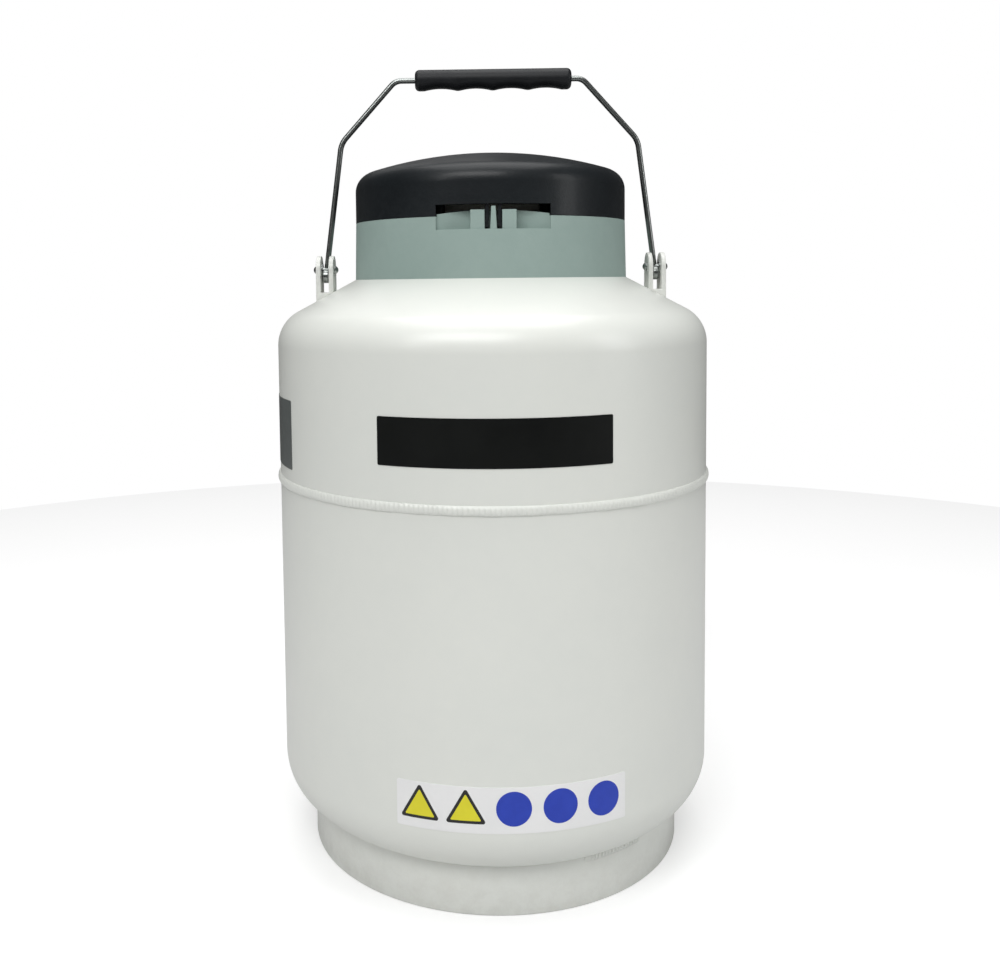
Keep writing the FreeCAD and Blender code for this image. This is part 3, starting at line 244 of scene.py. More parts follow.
def colour_drift():
    """Two colours that drift into each other in wide soft patches, with a little fine mottling."""
    tree, given, out = effect(
        "colour_drift",
        {"Colour": (1, 1, 1, 1), "Other": (1, 1, 1, 1), "Scale": 8.0, "Amount": 0.5},
        {"Colour": "NodeSocketColor", "Patch": "NodeSocketFloat"},
    )
    where = add(tree, "ShaderNodeTexCoord").outputs["Object"]
    wide = add(tree, "ShaderNodeTexNoise", Vector=where, Scale=given["Scale"], Detail=4.0, Roughness=0.55)
    fine_scale = calc(tree, "MULTIPLY", given["Scale"], 14.0)
    fine = add(tree, "ShaderNodeTexNoise", Vector=where, Scale=fine_scale, Detail=3.0, Roughness=0.6)
    patch = remap(tree, wide.outputs["Fac"], 0.35, 0.65)
    mottle = remap(tree, fine.outputs["Fac"], 0.3, 0.7, -0.2, 0.2)
    factor = calc(tree, "MULTIPLY", calc(tree, "ADD", patch, mottle, True), given["Amount"], True)
    tree.links.new(blend(tree, factor, given["Colour"], given["Other"]), out["Colour"])
    tree.links.new(patch, out["Patch"])
    return tree


def moulded_grain():
    """The pebbled skin that a textured mould leaves, or at a larger size the orange peel of sprayed paint."""
    tree, given, out = effect(
        "moulded_grain", {"Scale": 900.0, "Sharpness": 0.5}, {"Height": "NodeSocketFloat"}
    )
    where = add(tree, "ShaderNodeTexCoord").outputs["Object"]
    pebbles = add(
        tree, "ShaderNodeTexVoronoi", {"feature": "SMOOTH_F1"}, Vector=where, Scale=given["Scale"],
        Smoothness=0.6,
    )
    cloud_scale = calc(tree, "MULTIPLY", given["Scale"], 0.45)
    clouds = add(tree, "ShaderNodeTexNoise", Vector=where, Scale=cloud_scale, Detail=3.0, Roughness=0.6)
    sharp = calc(tree, "MULTIPLY", pebbles.outputs["Distance"], given["Sharpness"])
    tree.links.new(calc(tree, "ADD", sharp, clouds.outputs["Fac"]), out["Height"])
    return tree


def drawn_lines():
    """Fine lines along the upright axis, as a drawing die or a brush leaves."""
    tree, given, out = effect(
        "drawn_lines", {"Scale": 700.0, "Stretch": 0.05},
        {"Height": "NodeSocketFloat", "Mask": "NodeSocketFloat"},
    )
    where = add(tree, "ShaderNodeTexCoord").outputs["Object"]
    long = add(tree, "ShaderNodeCombineXYZ", X=1.0, Y=1.0, Z=given["Stretch"])
    stretched = add(
        tree, "ShaderNodeVectorMath", {"operation": "MULTIPLY"}, i0=where, i1=long.outputs[0]
    ).outputs[0]
    lines = add(tree, "ShaderNodeTexNoise", Vector=stretched, Scale=given["Scale"], Detail=4.0, Roughness=0.7)
    tree.links.new(lines.outputs["Fac"], out["Height"])
    tree.links.new(remap(tree, lines.outputs["Fac"], 0.35, 0.65), out["Mask"])
    return tree


def rubbed_edges():
    """Where handling rubs a surface: its outer edges, broken up by noise."""
    tree, given, out = effect("rubbed_edges", {"Reach": 0.5, "Amount": 0.5}, {"Mask": "NodeSocketFloat"})
    where = add(tree, "ShaderNodeTexCoord").outputs["Object"]
    bend = add(tree, "ShaderNodeNewGeometry").outputs["Pointiness"]
    edge = remap(tree, bend, 0.505, 0.56)
    broken = add(tree, "ShaderNodeTexNoise", Vector=where, Scale=240.0, Detail=5.0, Roughness=0.7)
    noise = remap(tree, broken.outputs["Fac"], 0.42, 0.62)
    both = calc(tree, "MULTIPLY", calc(tree, "ADD", edge, given["Reach"], True), noise, True)
    kept = calc(tree, "MULTIPLY", calc(tree, "MULTIPLY", both, edge), given["Amount"], True)
    tree.links.new(kept, out["Mask"])
    return tree


def darker_low_down():
    """Greyer, darker and rougher low down, fading out with height and broken up by noise."""
    tree, given, out = effect("darker_low_down", {"Height": 0.04, "Amount": 0.3}, {"Mask": "NodeSocketFloat"})
    where = add(tree, "ShaderNodeTexCoord").outputs["Object"]
    up = add(tree, "ShaderNodeSeparateXYZ", Vector=where).outputs["Z"]
    low = calc(tree, "SUBTRACT", 1.0, calc(tree, "DIVIDE", up, given["Height"], True), True)
    unevenness = add(tree, "ShaderNodeTexNoise", Vector=where, Scale=90.0, Detail=6.0, Roughness=0.75)
    broken = remap(tree, unevenness.outputs["Fac"], 0.4, 0.7)
    tree.links.new(
        calc(tree, "MULTIPLY", calc(tree, "MULTIPLY", low, broken), given["Amount"], True), out["Mask"]
    )
    return tree


DRIFT = colour_drift()
GRAIN = moulded_grain()
LINES = drawn_lines()
RUBBED = rubbed_edges()
LOW_DARKER = darker_low_down()


def srgb(red, green, blue):
    """A colour given as it looks on a screen, 0 to 255, in the shader's linear values."""
    values = [v / 255 for v in (red, green, blue)]
    return tuple(v / 12.92 if v <= 0.04045 else ((v + 0.055) / 1.055) ** 2.4 for v in values) + (1.0,)


def finish(
    name, colour, other, rough, metal=0.0, coat=0.0, coat_rough=0.1, specular=0.5,
    drift=8.0, drifting=0.5, grain=900.0, grain_sharp=0.5, grain_deep=0.02, rough_play=0.08,
    rubbed=0.0, under=(0.6, 0.6, 0.6, 1), under_metal=1.0, lines=0.0, lines_scale=700.0, darken_low=0.0,
):
    """A finish: a drifting colour over grain, with optional drawn lines, rubbed edges and darkening low down.
    """
    material = bpy.data.materials.new(name)
    material.use_nodes = True
    tree = material.node_tree
    shader = tree.nodes["Principled BSDF"]
    shader.inputs["Specular IOR Level"].default_value = specular
    shader.inputs["Coat Weight"].default_value = coat
    shader.inputs["Coat Roughness"].default_value = coat_rough
    shader.inputs["Metallic"].default_value = metal
    drifted = use(tree, DRIFT, Colour=colour, Other=other, Scale=drift, Amount=drifting)
    tint = drifted["Colour"]
    roughness = remap(tree, drifted["Patch"], 0.0, 1.0, rough - rough_play / 2, rough + rough_play / 2)
    height = use(tree, GRAIN, Scale=grain, Sharpness=grain_sharp)["Height"]
    if lines:
        drawn = use(tree, LINES, Scale=lines_scale)
        roughness = calc(tree, "ADD", roughness, remap(tree, drawn["Mask"], 0.0, 1.0, -lines, lines), True)
        height = calc(tree, "ADD", calc(tree, "MULTIPLY", height, 0.4), drawn["Height"])
    if rubbed:
        worn = use(tree, RUBBED, Amount=rubbed)["Mask"]
        tint = blend(tree, worn, tint, under)
        metallic = remap(tree, worn, 0.0, 1.0, metal, under_metal)
        tree.links.new(metallic, shader.inputs["Metallic"])
    # the colour turns greyer and darker towards the bottom of the piece, fading out with height
    if darken_low:
        low_mask = use(tree, LOW_DARKER, Amount=darken_low)["Mask"]
        tint = blend(tree, low_mask, tint, srgb(176, 172, 162))
        roughness = calc(tree, "ADD", roughness, calc(tree, "MULTIPLY", low_mask, 0.3), True)
    bump = add(tree, "ShaderNodeBump", Strength=1.0, Distance=grain_deep * MM, Height=height)
    tree.links.new(tint, shader.inputs["Base Color"])
    tree.links.new(roughness, shader.inputs["Roughness"])
    tree.links.new(bump.outputs["Normal"], shader.inputs["Normal"])
    return material


FINISHES = {
    "shell_paint": finish(
        "shell_paint", srgb(233, 235, 229), srgb(226, 229, 224), 0.36, coat=0.3, coat_rough=0.26,
        drift=7.0, grain=420.0, grain_sharp=0.2, grain_deep=0.03, darken_low=0.25,
    ),
    "bracket_paint": finish(
        "bracket_paint", srgb(232, 233, 228), srgb(222, 224, 219), 0.38, coat=0.25, coat_rough=0.2,
        drift=40.0, grain=500.0, grain_sharp=0.2, grain_deep=0.03, rubbed=0.2, under=srgb(176, 176, 174),
        under_metal=0.0,
    ),
    "collar_grey": finish(
        "collar_grey", srgb(156, 175, 169), srgb(146, 166, 160), 0.56, drift=14.0, drifting=0.7,
        grain=1100.0, grain_sharp=0.7, grain_deep=0.05, specular=0.35,
    ),
    "lid_black": finish(
        "lid_black", srgb(22, 26, 29), srgb(28, 33, 36), 0.42, coat=0.12, coat_rough=0.2, specular=0.25,
        drift=16.0, drifting=0.7, grain=950.0, grain_sharp=0.9, grain_deep=0.05, rubbed=0.15,
        under=srgb(70, 72, 74), under_metal=0.0,
    ),
    "grip_black": finish(
        "grip_black", srgb(22, 24, 27), srgb(33, 35, 38), 0.48, drift=60.0, drifting=0.6, grain=1300.0,
        grain_sharp=0.8, grain_deep=0.04, specular=0.3, rubbed=0.25, under=srgb(62, 64, 66),
        under_metal=0.0,
    ),
    "bright_steel": finish(
        "bright_steel", srgb(150, 154, 152), srgb(136, 140, 138), 0.3, metal=1.0, drift=30.0, grain=500.0,
        grain_sharp=0.2, grain_deep=0.002, rough_play=0.06,
    ),
    "stainless": finish(
        "stainless", srgb(190, 192, 192), srgb(166, 168, 170), 0.32, metal=1.0, drift=50.0, grain=600.0,
        grain_deep=0.012, lines=0.08, lines_scale=1200.0,
    ),
    "bare_aluminium": finish(
        "bare_aluminium", srgb(200, 202, 204), srgb(180, 183, 186), 0.4, metal=1.0, drift=18.0, grain=500.0,
        grain_deep=0.015, lines=0.06,
    ),
    "inner_aluminium": finish(
        "inner_aluminium", srgb(206, 208, 210), srgb(190, 193, 196), 0.3, metal=1.0, drift=12.0, grain=400.0,
        grain_deep=0.012, lines=0.05,
    ),
    "neck_composite": finish(
        "neck_composite", srgb(196, 178, 132), srgb(180, 160, 116), 0.45, drift=40.0, grain=600.0,
        grain_deep=0.03, lines=0.05, lines_scale=500.0,
    ),
    "foil_wrap": finish(
        "foil_wrap", srgb(214, 214, 212), srgb(190, 190, 188), 0.22, metal=1.0, drift=45.0, grain=120.0,
        grain_sharp=1.0, grain_deep=0.8, rough_play=0.16,
    ),
    "getter_cloth": finish(
        "getter_cloth", srgb(222, 218, 206), srgb(206, 201, 188), 0.85, drift=60.0, grain=800.0,
        grain_sharp=1.0, grain_deep=0.2, specular=0.2,
    ),
    "plug_foam": finish(
        "plug_foam", srgb(236, 234, 226), srgb(224, 221, 210), 0.8, drift=40.0, grain=420.0,
        grain_sharp=1.0, grain_deep=0.16, specular=0.25,
    ),
    "white_plastic": finish(
        "white_plastic", srgb(226, 227, 224), srgb(214, 215, 212), 0.45, drift=30.0, grain=900.0,
        grain_deep=0.03,
    ),
    "seal_rubber": finish(
        "seal_rubber", srgb(30, 30, 32), srgb(42, 42, 43), 0.7, drift=50.0, grain=1000.0, grain_deep=0.04,
        specular=0.3,
    ),
    "label_black": finish(
        "label_black", srgb(12, 14, 13), srgb(18, 20, 19), 0.42, specular=0.18, drift=30.0, drifting=0.5,
        grain=500.0, grain_sharp=0.2, grain_deep=0.01,
    ),
    "label_grey": finish(
        "label_grey", srgb(96, 101, 100), srgb(84, 89, 88), 0.34, coat=0.25, drift=30.0,
        grain=500.0, grain_sharp=0.2, grain_deep=0.01,
    ),
    "label_white": finish(
        "label_white", srgb(244, 244, 244), srgb(236, 237, 237), 0.32, coat=0.25, drift=30.0,
        grain=500.0, grain_sharp=0.2, grain_deep=0.01,
    ),
}
INKS = {
    "ink_black": finish(
        "ink_black", srgb(20, 20, 20), srgb(32, 32, 32), 0.34, drift=120.0, grain=900.0, grain_deep=0.005
    ),
    "ink_yellow": finish(
        "ink_yellow", srgb(232, 224, 40), srgb(222, 212, 34), 0.34, drift=120.0, grain=900.0,
        grain_deep=0.005,
    ),
    "ink_blue": finish(
        "ink_blue", srgb(28, 62, 186), srgb(22, 54, 172), 0.34, drift=120.0, grain=900.0, grain_deep=0.005
    ),
}


# ---- sizes of the flask: its hidden ones, then those that the frame gives ----

SHELL_WALL = 2.0
SHELL_HEAD_LINE = 60.0
SHELL_CROWN = 430.0
SHELL_KNUCKLE = 32.0
SHOULDER_ROUND = 25.0
SHOULDER_SLOPE = math.radians(28)
SHOULDER_STEP = math.radians(2.5)
SHELL_RADIUS = span("outer_shell_lower")[1].x
SEAM_HEIGHT = span("outer_shell_lower")[1].z
LAND_HEIGHT = span("outer_shell_upper")[1].z
NECK_HOLE = span("neck_tube")[1].x
COLLAR_FOOT = span("collar")[0].z
COLLAR_FOOT_RADIUS = span("collar")[1].x


def cone_height(radius):
    """The height of the sloped shoulder at a radius."""
    return COLLAR_FOOT + (COLLAR_FOOT_RADIUS - radius) * math.tan(SHOULDER_SLOPE)


def shoulder_corners(inset):
    """The wall's top corner, before its round, and the edge of the flat land, each set in by inset."""
    drop = inset / math.cos(SHOULDER_SLOPE)
    wall = SHELL_RADIUS - inset
    land = LAND_HEIGHT - inset
    edge = COLLAR_FOOT_RADIUS - (land + drop - COLLAR_FOOT) / math.tan(SHOULDER_SLOPE)
    return (wall, cone_height(wall) - drop, SHOULDER_ROUND - inset), (edge, land, 0)


# ---- flask ----


def lower_shell():
    outer = head(SHELL_RADIUS, SHELL_HEAD_LINE, SHELL_CROWN, SHELL_KNUCKLE, -1)
    inner = head(
        SHELL_RADIUS - SHELL_WALL, SHELL_HEAD_LINE, SHELL_CROWN - SHELL_WALL, SHELL_KNUCKLE - SHELL_WALL, -1
    )
    outline = outer + [(SHELL_RADIUS, SEAM_HEIGHT), (SHELL_RADIUS - SHELL_WALL, SEAM_HEIGHT)] + inner[::-1]
    piece(
        "painted_lower_shell", turned(outline), "vessel", [FINISHES["shell_paint"]], "shell_paint",
        "outer_shell_lower",
    )


def upper_shell():
    outer, outer_land = shoulder_corners(0.0)
    inner, inner_land = shoulder_corners(SHELL_WALL)
    outline = rounded([
        (SHELL_RADIUS, SEAM_HEIGHT, 0), outer, outer_land, (NECK_HOLE, LAND_HEIGHT, 0),
        (NECK_HOLE, LAND_HEIGHT - SHELL_WALL, 0), inner_land, inner,
        (SHELL_RADIUS - SHELL_WALL, SEAM_HEIGHT, 0),
    ], step=SHOULDER_STEP)
    piece(
        "painted_upper_shell", turned(outline), "vessel", [FINISHES["shell_paint"]], "shell_paint",
        "outer_shell_upper",
    )


RIPPLE_STEPS = 6
BEAD_ROOT = 0.6  # how far a bead's root goes into the wall
SCALE_FALL = 0.34  # how much of its height a scale loses before the next one
SCALE_CURVE = 0.45  # how far a scale's edge bows along the bead, in scales
SCALE_WANDER = 0.18
HAND_SWAY = 0.16  # how far the welder's hand strays up and down
HAND_SHAKE = 0.1
END_LENGTH = 1 / 9  # the share of an open bead over which each end rises
WELD_SHARP = 70


def rippled_bead(radius, height, half, proud, pitch, sweep=math.tau, start=0.0):
    """A weld bead round the flask: a low rounded rope of overlapping scales, one every pitch."""
    scales = round(radius * sweep / pitch)
    crown = arc((radius, height), 1.0, -QUARTER, QUARTER, math.pi / 8)
    outline = [(radius + (a - radius) * proud, height + (u - height) * half) for a, u in crown]
    outline += [(radius - BEAD_ROOT, height + half / 2), (radius - BEAD_ROOT, height - half / 2)]
    bead = turned(outline, scales * RIPPLE_STEPS, sweep, start)
    for vert in bead.verts:
        out = math.hypot(vert.co.x, vert.co.y)
        if out < radius:
            continue
        along = min(1.0, (math.atan2(vert.co.y, vert.co.x) - start + WELD) % math.tau / sweep)
        up = (vert.co.z - height) / half
        count = along * scales
        place = count + SCALE_CURVE * up * up + SCALE_WANDER * math.sin(count * 0.37)
        rise = 1.0 - SCALE_FALL * (place % 1.0) ** 1.5
        if sweep != math.tau:
            rise *= min(1.0, along / END_LENGTH, (1 - along) / END_LENGTH) ** 0.5
        drop = (out - radius) * (1 - rise)
        factor = (out - drop) / out
        vert.co.x *= factor
        vert.co.y *= factor
        vert.co.z += HAND_SWAY * math.sin(count * 0.21) + HAND_SHAKE * math.sin(count * 0.83 + 1)
    return bead


GIRTH_PITCH = 2.9
GIRTH_INSET = 0.1  # room for the bead to stray within its node's height


def girth_weld():
    low, high = span("girth_weld_bead")
    half = (high.z - low.z) / 2
    bead = rippled_bead(
        SHELL_RADIUS, (high.z + low.z) / 2, half - GIRTH_INSET, high.x - SHELL_RADIUS, GIRTH_PITCH
    )
    piece(
        "girth_weld_ripple", bead, "vessel", [FINISHES["shell_paint"]], "shell_paint", "girth_weld_bead",
        sharp=WELD_SHARP,
    )


FOOT_WALL = 3.0
FOOT_EDGE = 1.1


def foot():
    low, high = span("foot_ring")
    outline = rounded([
        (high.x, low.z, FOOT_EDGE), (high.x, high.z, FOOT_EDGE),
        (high.x - FOOT_WALL, high.z, FOOT_EDGE), (high.x - FOOT_WALL, low.z, FOOT_EDGE),
    ], step=math.radians(22.5))
    piece(
        "rolled_foot_ring", turned(outline), "vessel", [FINISHES["shell_paint"]], "shell_paint",
        "foot_ring",
    )


STITCH_SWEEP = math.radians(21)
STITCH_START = math.radians(24 - 90)
STITCH_COUNT = 3
STITCH_SINK = 0.3
STITCH_PROUD = 2.6
STITCH_PITCH = 2.4


def foot_welds():
    low, high = span("foot_stitch_welds")
    ring = span("foot_ring")[1]
    middle = (low.z + high.z) / 2
    beads = [
        rippled_bead(
            ring.x - STITCH_SINK, middle, (high.z - low.z) / 2, STITCH_PROUD, STITCH_PITCH,
            STITCH_SWEEP, STITCH_START + i * math.tau / STITCH_COUNT,
        )
        for i in range(STITCH_COUNT)
    ]
    piece(
        "foot_ring_stitches", joined(*beads), "vessel", [FINISHES["shell_paint"]], "shell_paint",
        "foot_stitch_welds", sharp=WELD_SHARP,
    )


CAP_EDGE = 0.6
TUBE_EDGE = 0.3


def vacuum_port():
    piece(
        "vacuum_port_moulded_cap", eased("vacuum_port_cap", CAP_EDGE, segments=3), "vessel",
        [FINISHES["lid_black"]], "lid_black", "vacuum_port_cap",
    )
    piece(
        "vacuum_port_welded_tube", eased("vacuum_port_tube", TUBE_EDGE), "vessel",
        [FINISHES["shell_paint"]], "shell_paint", "vacuum_port_tube",
    )


# ---- collar and lid ----


MOULDED_EDGE = 0.35


def collar():
    evenly_lit(piece(
        "moulded_collar", eased("collar", MOULDED_EDGE), "vessel", [FINISHES["collar_grey"]],
        "collar_grey", "collar",
    ))


def lid():
    evenly_lit(piece(
        "moulded_lid", eased("lid_shell", MOULDED_EDGE), "lid", [FINISHES["lid_black"]], "lid_black",
        "lid_shell",
    ))


# ---- bail ----

WIRE_RADIUS = 1.85
EYE_RADIUS = 4.6
EYE_THICK = 3.8
EYE_EDGE = 0.7
KNEE = (99.5, 466.0, 16.0)  # across, up, and the bend's radius
TOP = (62.5, 507.0, 9.0)
PIVOT_SIDE = 111.4


def wire_eye(side, height):
    """The wire's flattened end, a disc on edge about the pivot."""
    half = EYE_THICK / 2
    eye = turned(rounded([
        (0, -half, 0), (EYE_RADIUS, -half, EYE_EDGE), (EYE_RADIUS, half, EYE_EDGE), (0, half, 0),
    ], step=math.radians(15)), 48)
    laid_over(eye, "Y")
    moved(eye, (side * PIVOT_SIDE, 0, height))
    return eye


def bail_wire():
    pivot_height = span("bail_wire")[0].z + EYE_RADIUS
    half = [(PIVOT_SIDE, pivot_height, 0), KNEE, TOP, (0, TOP[1], 0)]
    path = rounded(half + [(-x, z, r) for x, z, r in half[-2::-1]], closed=False, step=math.radians(4))
    curve = bpy.data.curves.new("bail_path", "CURVE")
    curve.dimensions = "3D"
    curve.bevel_depth = WIRE_RADIUS
    curve.bevel_resolution = 5
    curve.use_fill_caps = True
    spline = curve.splines.new("POLY")
    spline.points.add(len(path) - 1)
    for point, (x, z) in zip(spline.points, path):
        point.co = (x, 0, z, 1)
    carrier = bpy.data.objects.new("bail_path", curve)
    bpy.context.scene.collection.objects.link(carrier)
    shape = bmesh.new()
    ready = bpy.context.evaluated_depsgraph_get()
    shape.from_mesh(bpy.data.meshes.new_from_object(carrier.evaluated_get(ready)))
    bpy.data.objects.remove(carrier)
    joined(shape, wire_eye(-1, pivot_height), wire_eye(1, pivot_height))
    bmesh.ops.recalc_face_normals(shape, faces=shape.faces)
    piece("drawn_bail_wire", shape, "bail", [FINISHES["bright_steel"]], "bright_steel", "bail_wire")


FINGER_COUNT = 4
FINGER_PITCH = 23.4
FINGER_HALF = 10.8
FINGER_DEEP = 1.4
GRIP_END_ROUND = 3.0
GRIP_RINGS = 120


def grip():
    low, high = span("grip")
    radius = (high.y - low.y) / 2
    half = (high.x - low.x) / 2
    middle = Vector(((low.x + high.x) / 2, 0, high.z - radius))
    ends = rounded([
        (0, -half, 0), (radius, -half, GRIP_END_ROUND), (radius, half, GRIP_END_ROUND), (0, half, 0),
    ], step=math.radians(9))
    split = next(i for i, (across, up) in enumerate(ends) if up > 0)
    straight = 2 * (half - GRIP_END_ROUND)
    walls = [(radius, straight * (i / GRIP_RINGS - 0.5)) for i in range(1, GRIP_RINGS)]
    shape = turned(ends[:split] + walls + ends[split:], 64)
    laid_over(shape, "Y")
    for vert in shape.verts:
        for i in range(FINGER_COUNT):
            off = (vert.co.x - (i - (FINGER_COUNT - 1) / 2) * FINGER_PITCH) / FINGER_HALF
            if abs(off) < 1 and vert.co.z < 0:
                vert.co.z += FINGER_DEEP * (1 - off * off) * (-vert.co.z / radius)
    moved(shape, middle)
    piece("moulded_grip", shape, "bail", [FINISHES["grip_black"]], "grip_black", "grip")


PLATE_EDGE = 0.6
RIVET_EDGE = 0.25


def brackets():
    for side in ("left", "right"):
        piece(
            f"welded_bracket_{side}", eased(f"bracket_{side}", PLATE_EDGE, segments=3), "vessel",
            [FINISHES["bracket_paint"]], "bracket_paint", f"bracket_{side}",
        )
        piece(
            f"domed_rivet_{side}", eased(f"pivot_rivet_{side}", RIVET_EDGE), "vessel",
            [FINISHES["bright_steel"]], "bright_steel", f"pivot_rivet_{side}",
        )


# ---- labels ----

FILM = 0.25
INK = 0.06
WRAP_STEP = 1.5
LABEL_CORNER = 1.0


def wrapped(flat, radius):
    """Bends a flat shape, drawn across x and up z with its depth along y, round the front of the flask."""
    xs = [v.co.x for v in flat.verts]
    line = math.ceil(min(xs) / WRAP_STEP) * WRAP_STEP
    while line < max(xs):
        bmesh.ops.bisect_plane(
            flat, geom=flat.verts[:] + flat.edges[:] + flat.faces[:], plane_co=(line, 0, 0), plane_no=X_AXIS,
            dist=WELD,
        )
        line += WRAP_STEP
    for vert in flat.verts:
        angle = vert.co.x / radius
        reach = radius - vert.co.y
        vert.co = (reach * math.sin(angle), -reach * math.cos(angle), vert.co.z)
    return flat


def patch(outline, inner_depth, outer_depth, finish_index=0):
    """A thin flat plate of an outline, from one depth in front of the shell to another."""
    flat = bmesh.new()
    face = flat.faces.new([flat.verts.new((x, -inner_depth, z)) for x, z in outline])
    face.material_index = finish_index
    made = bmesh.ops.extrude_face_region(flat, geom=[face])
    fronts = [item for item in made["geom"] if isinstance(item, bmesh.types.BMVert)]
    bmesh.ops.translate(flat, verts=fronts, vec=(0, inner_depth - outer_depth, 0))
    for item in flat.faces:
        item.material_index = finish_index
    bmesh.ops.recalc_face_normals(flat, faces=flat.faces)
    return flat


def label_outline(start, end, low, high):
    """A label's flat outline between two bearings, in degrees, and two heights, with rounded corners."""
    left, right = math.radians(start) * SHELL_RADIUS, math.radians(end) * SHELL_RADIUS
    corners = [(left, low), (right, low), (right, high), (left, high)]
    return rounded([(*corner, LABEL_CORNER) for corner in corners], step=math.radians(22.5))


def film_label(name, node, bearings, finishes, slot, prints=()):
    """A film label, with its prints, each an outline, a finish number and how many inks lie under it."""
    low, high = span(node)
    film = patch(label_outline(*bearings, low.z, high.z), 0.0, FILM)
    inks = [
        patch(outline, FILM + INK * level, FILM + INK * (level + 1), index)
        for outline, index, level in prints
    ]
    shape = wrapped(joined(film, *inks), SHELL_RADIUS)
    bmesh.ops.recalc_face_normals(shape, faces=shape.faces)
    piece(name, shape, "vessel", finishes, slot, node)


FRONT_BEARINGS = (-28.4, 27.2)
SIDE_BEARINGS = (-92.0, -62.0)
SAFETY_BEARINGS = (-24.5, 30.6)
TRIANGLE_PLACES = (-47.0, -20.0)
TRIANGLE_SIDE = 24.0
TRIANGLE_DROP = 2.0
TRIANGLE_BORDER = 6.0  # how much shorter the yellow one's side is
DISC_PLACES = (7.5, 34.5, 61.5)
DISC_RADIUS = 10.2
DISC_STEP = math.tau / 48
PRINT_RISE = 1.0


def triangle(x, z, side, corner):
    height = side * math.sqrt(3) / 2
    base, tip = z - height / 3, z + height * 2 / 3
    return rounded(
        [(x - side / 2, base, corner), (x + side / 2, base, corner), (x, tip, corner)],
        step=math.radians(20),
    )


def labels():
    film_label("front_band", "front_label", FRONT_BEARINGS, [FINISHES["label_black"]], "label_black")
    film_label("side_panel", "side_label", SIDE_BEARINGS, [FINISHES["label_grey"]], "label_grey")
    low, high = span("safety_label")
    middle = (low.z + high.z) / 2 + PRINT_RISE
    black, yellow, blue = 1, 2, 3
    prints = []
    for x in TRIANGLE_PLACES:
        prints.append((triangle(x, middle - TRIANGLE_DROP, TRIANGLE_SIDE, 1.2), black, 0))
        prints.append((triangle(x, middle - TRIANGLE_DROP, TRIANGLE_SIDE - TRIANGLE_BORDER, 0.5), yellow, 1))
    for x in DISC_PLACES:
        prints.append((arc((x, middle), DISC_RADIUS, 0, math.tau - DISC_STEP, DISC_STEP), blue, 0))
    film_label(
        "safety_strip", "safety_label", SAFETY_BEARINGS,
        [FINISHES["label_white"], INKS["ink_black"], INKS["ink_yellow"], INKS["ink_blue"]],
        "label_white", prints,
    )


# ---- pieces kept as the frame has them ----

KEPT = {
    "bare_aluminium": ["weld_backing_ring", "neck_top_ring"],
    "inner_aluminium": ["inner_vessel_lower", "inner_vessel_upper", "inner_weld_bead", "canister_rack"],
    "neck_composite": ["neck_tube", "neck_bottom_cuff"],
    "foil_wrap": ["insulation_wrap"],
    "getter_cloth": ["getter_packet"],
    "plug_foam": ["neck_plug", "lid_filler"],
    "white_plastic": ["index_ring", "lid_base_plate"],
    "seal_rubber": ["lid_seal", "vacuum_plug_seal"],
    "collar_grey": ["collar_studs"],
    "bright_steel": ["pivot_washers_left", "pivot_washers_right"],
}


def kept_nodes():
    """Gives every node of the frame a finish; those not listed are stainless."""
    finish_of = {node: name for name, nodes in KEPT.items() for node in nodes}
    for node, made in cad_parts.items():
        made.data.materials.clear()
        made.data.materials.append(FINISHES[finish_of.get(node, "stainless")])


# ---- stage ----

FLOOR_RADIUS = 1.3
PAPER = 0.7  # how pale the paper is
PAPER_GLOW = 0.42  # how much brighter the paper looks than it lights the object
AIR_LIGHT = 0.2  # how bright the room's even light is
AIR_SHINE = 0.06  # how bright it looks in a reflection
AIR_SEEN = 1.0  # how bright the backdrop looks
LIGHTS_AIM = Vector((0, 0, 0.26))


def softbox(name, place, size, power):
    """A soft light at a place, in metres, turned to the middle of the flask, with its power in watts."""
    light = bpy.data.lights.new(name, "AREA")
    light.shape = "RECTANGLE"
    light.size, light.size_y = size
    light.energy = power
    lamp = bpy.data.objects.new(name, light)
    lamp.location = place
    lamp.rotation_euler = (LIGHTS_AIM - Vector(place)).to_track_quat("-Z", "Y").to_euler()
    bpy.context.scene.collection.objects.link(lamp)


def paper_floor():
    sheet = bmesh.new()
    bmesh.ops.create_circle(sheet, cap_ends=True, radius=FLOOR_RADIUS, segments=96)
    mesh = bpy.data.meshes.new("studio_floor")
    sheet.to_mesh(mesh)
    sheet.free()
    floor = bpy.data.objects.new("studio_floor", mesh)
    bpy.context.scene.collection.objects.link(floor)
    paper = bpy.data.materials.new("floor_paper")
    paper.use_nodes = True
    tree = paper.node_tree
    shader = tree.nodes["Principled BSDF"]
    shader.inputs["Base Color"].default_value = (PAPER, PAPER, PAPER, 1)
    shader.inputs["Roughness"].default_value = 0.9
    shader.inputs["Emission Color"].default_value = (1, 1, 1, 1)
    looked_at = add(tree, "ShaderNodeLightPath").outputs["Is Camera Ray"]
    tree.links.new(calc(tree, "MULTIPLY", looked_at, PAPER_GLOW), shader.inputs["Emission Strength"])
    mesh.materials.append(paper)


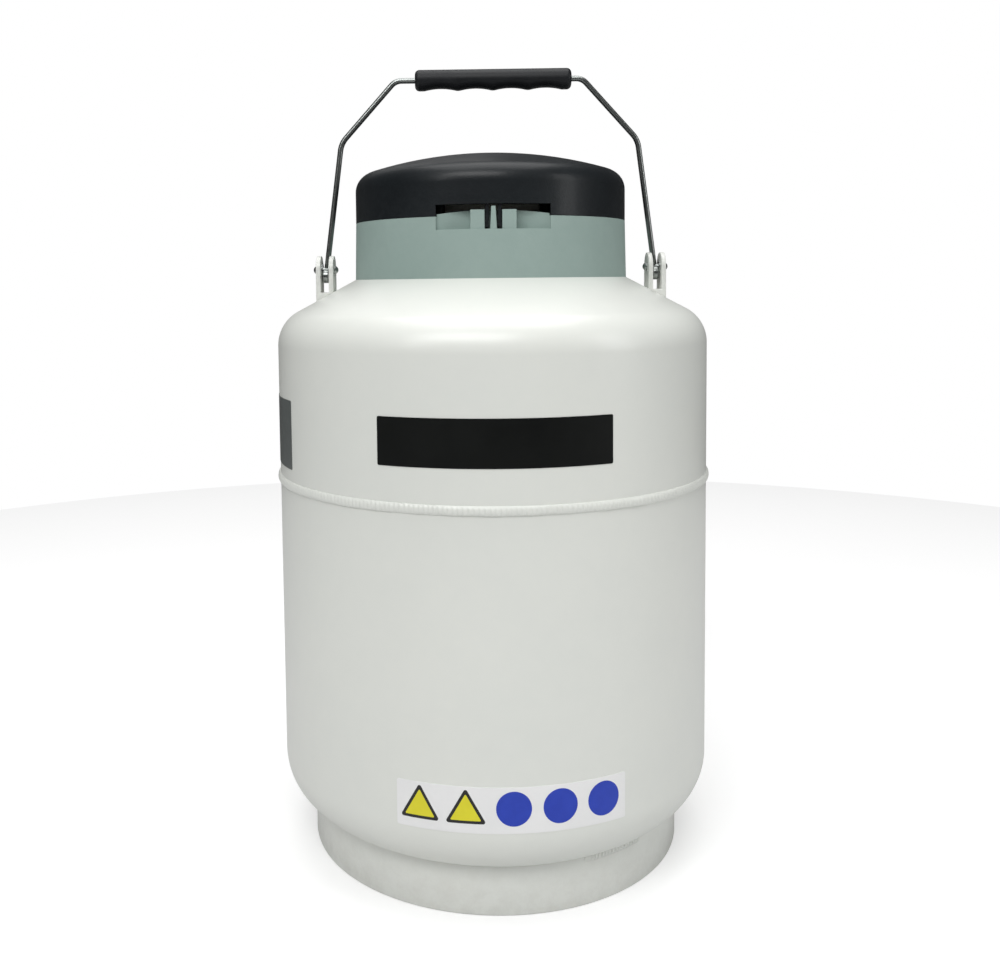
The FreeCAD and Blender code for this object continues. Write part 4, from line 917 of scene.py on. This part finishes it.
def studio_air():
    world = bpy.data.worlds.new("studio_air")
    world.use_nodes = True
    tree = world.node_tree
    path = add(tree, "ShaderNodeLightPath").outputs
    seen = remap(tree, path["Is Camera Ray"], 0.0, 1.0, AIR_LIGHT, AIR_SEEN)
    held_back = calc(tree, "MULTIPLY", path["Is Glossy Ray"], AIR_LIGHT - AIR_SHINE)
    brightness = calc(tree, "SUBTRACT", seen, held_back)
    tree.nodes["Background"].inputs["Color"].default_value = (1, 1, 1, 1)
    tree.links.new(brightness, tree.nodes["Background"].inputs["Strength"])
    bpy.context.scene.world = world


def studio():
    """A round sheet of pale paper, even air and five soft lights round the flask."""
    paper_floor()
    studio_air()
    bpy.context.scene.view_settings.view_transform = "Standard"
    softbox("front_box", (-0.4, -1.6, 1.9), (1.5, 0.8), 24)
    softbox("left_strip", (-1.3, -1.5, 1.5), (0.2, 1.2), 5)
    softbox("right_box", (1.9, -0.9, 1.0), (0.6, 1.4), 9)
    softbox("top_box", (0.0, 0.1, 2.2), (1.8, 1.6), 26)
    softbox("back_box", (-0.6, 1.8, 1.9), (1.6, 1.0), 3)


CAMERA_PLACE = Vector((-18.0, -728.1, 372.5)) * MM
CAMERA_PITCH = math.radians(4.03)
CAMERA_YAW = math.radians(0.927)
CAMERA_ROLL = math.radians(0.635)
SENSOR = 36.0
LENS = 38.52
SHIFT = (0.0528, -0.1315)


def camera():
    """The camera stands a little left of the middle, level with the shoulder, and looks slightly down."""
    lens = bpy.data.cameras.new("studio_camera")
    lens.sensor_width = SENSOR
    lens.lens = LENS
    lens.shift_x, lens.shift_y = SHIFT
    lens.clip_start = 0.01
    eye = bpy.data.objects.new("studio_camera", lens)
    level = Matrix.Rotation(CAMERA_YAW, 4, "Z") @ Matrix.Rotation(QUARTER - CAMERA_PITCH, 4, "X")
    eye.matrix_world = Matrix.Translation(CAMERA_PLACE) @ level @ Matrix.Rotation(-CAMERA_ROLL, 4, "Z")
    bpy.context.scene.collection.objects.link(eye)
    bpy.context.scene.camera = eye


kept_nodes()
lower_shell()
upper_shell()
girth_weld()
foot()
foot_welds()
vacuum_port()
collar()
lid()
bail_wire()
grip()
brackets()
labels()
studio()
camera()
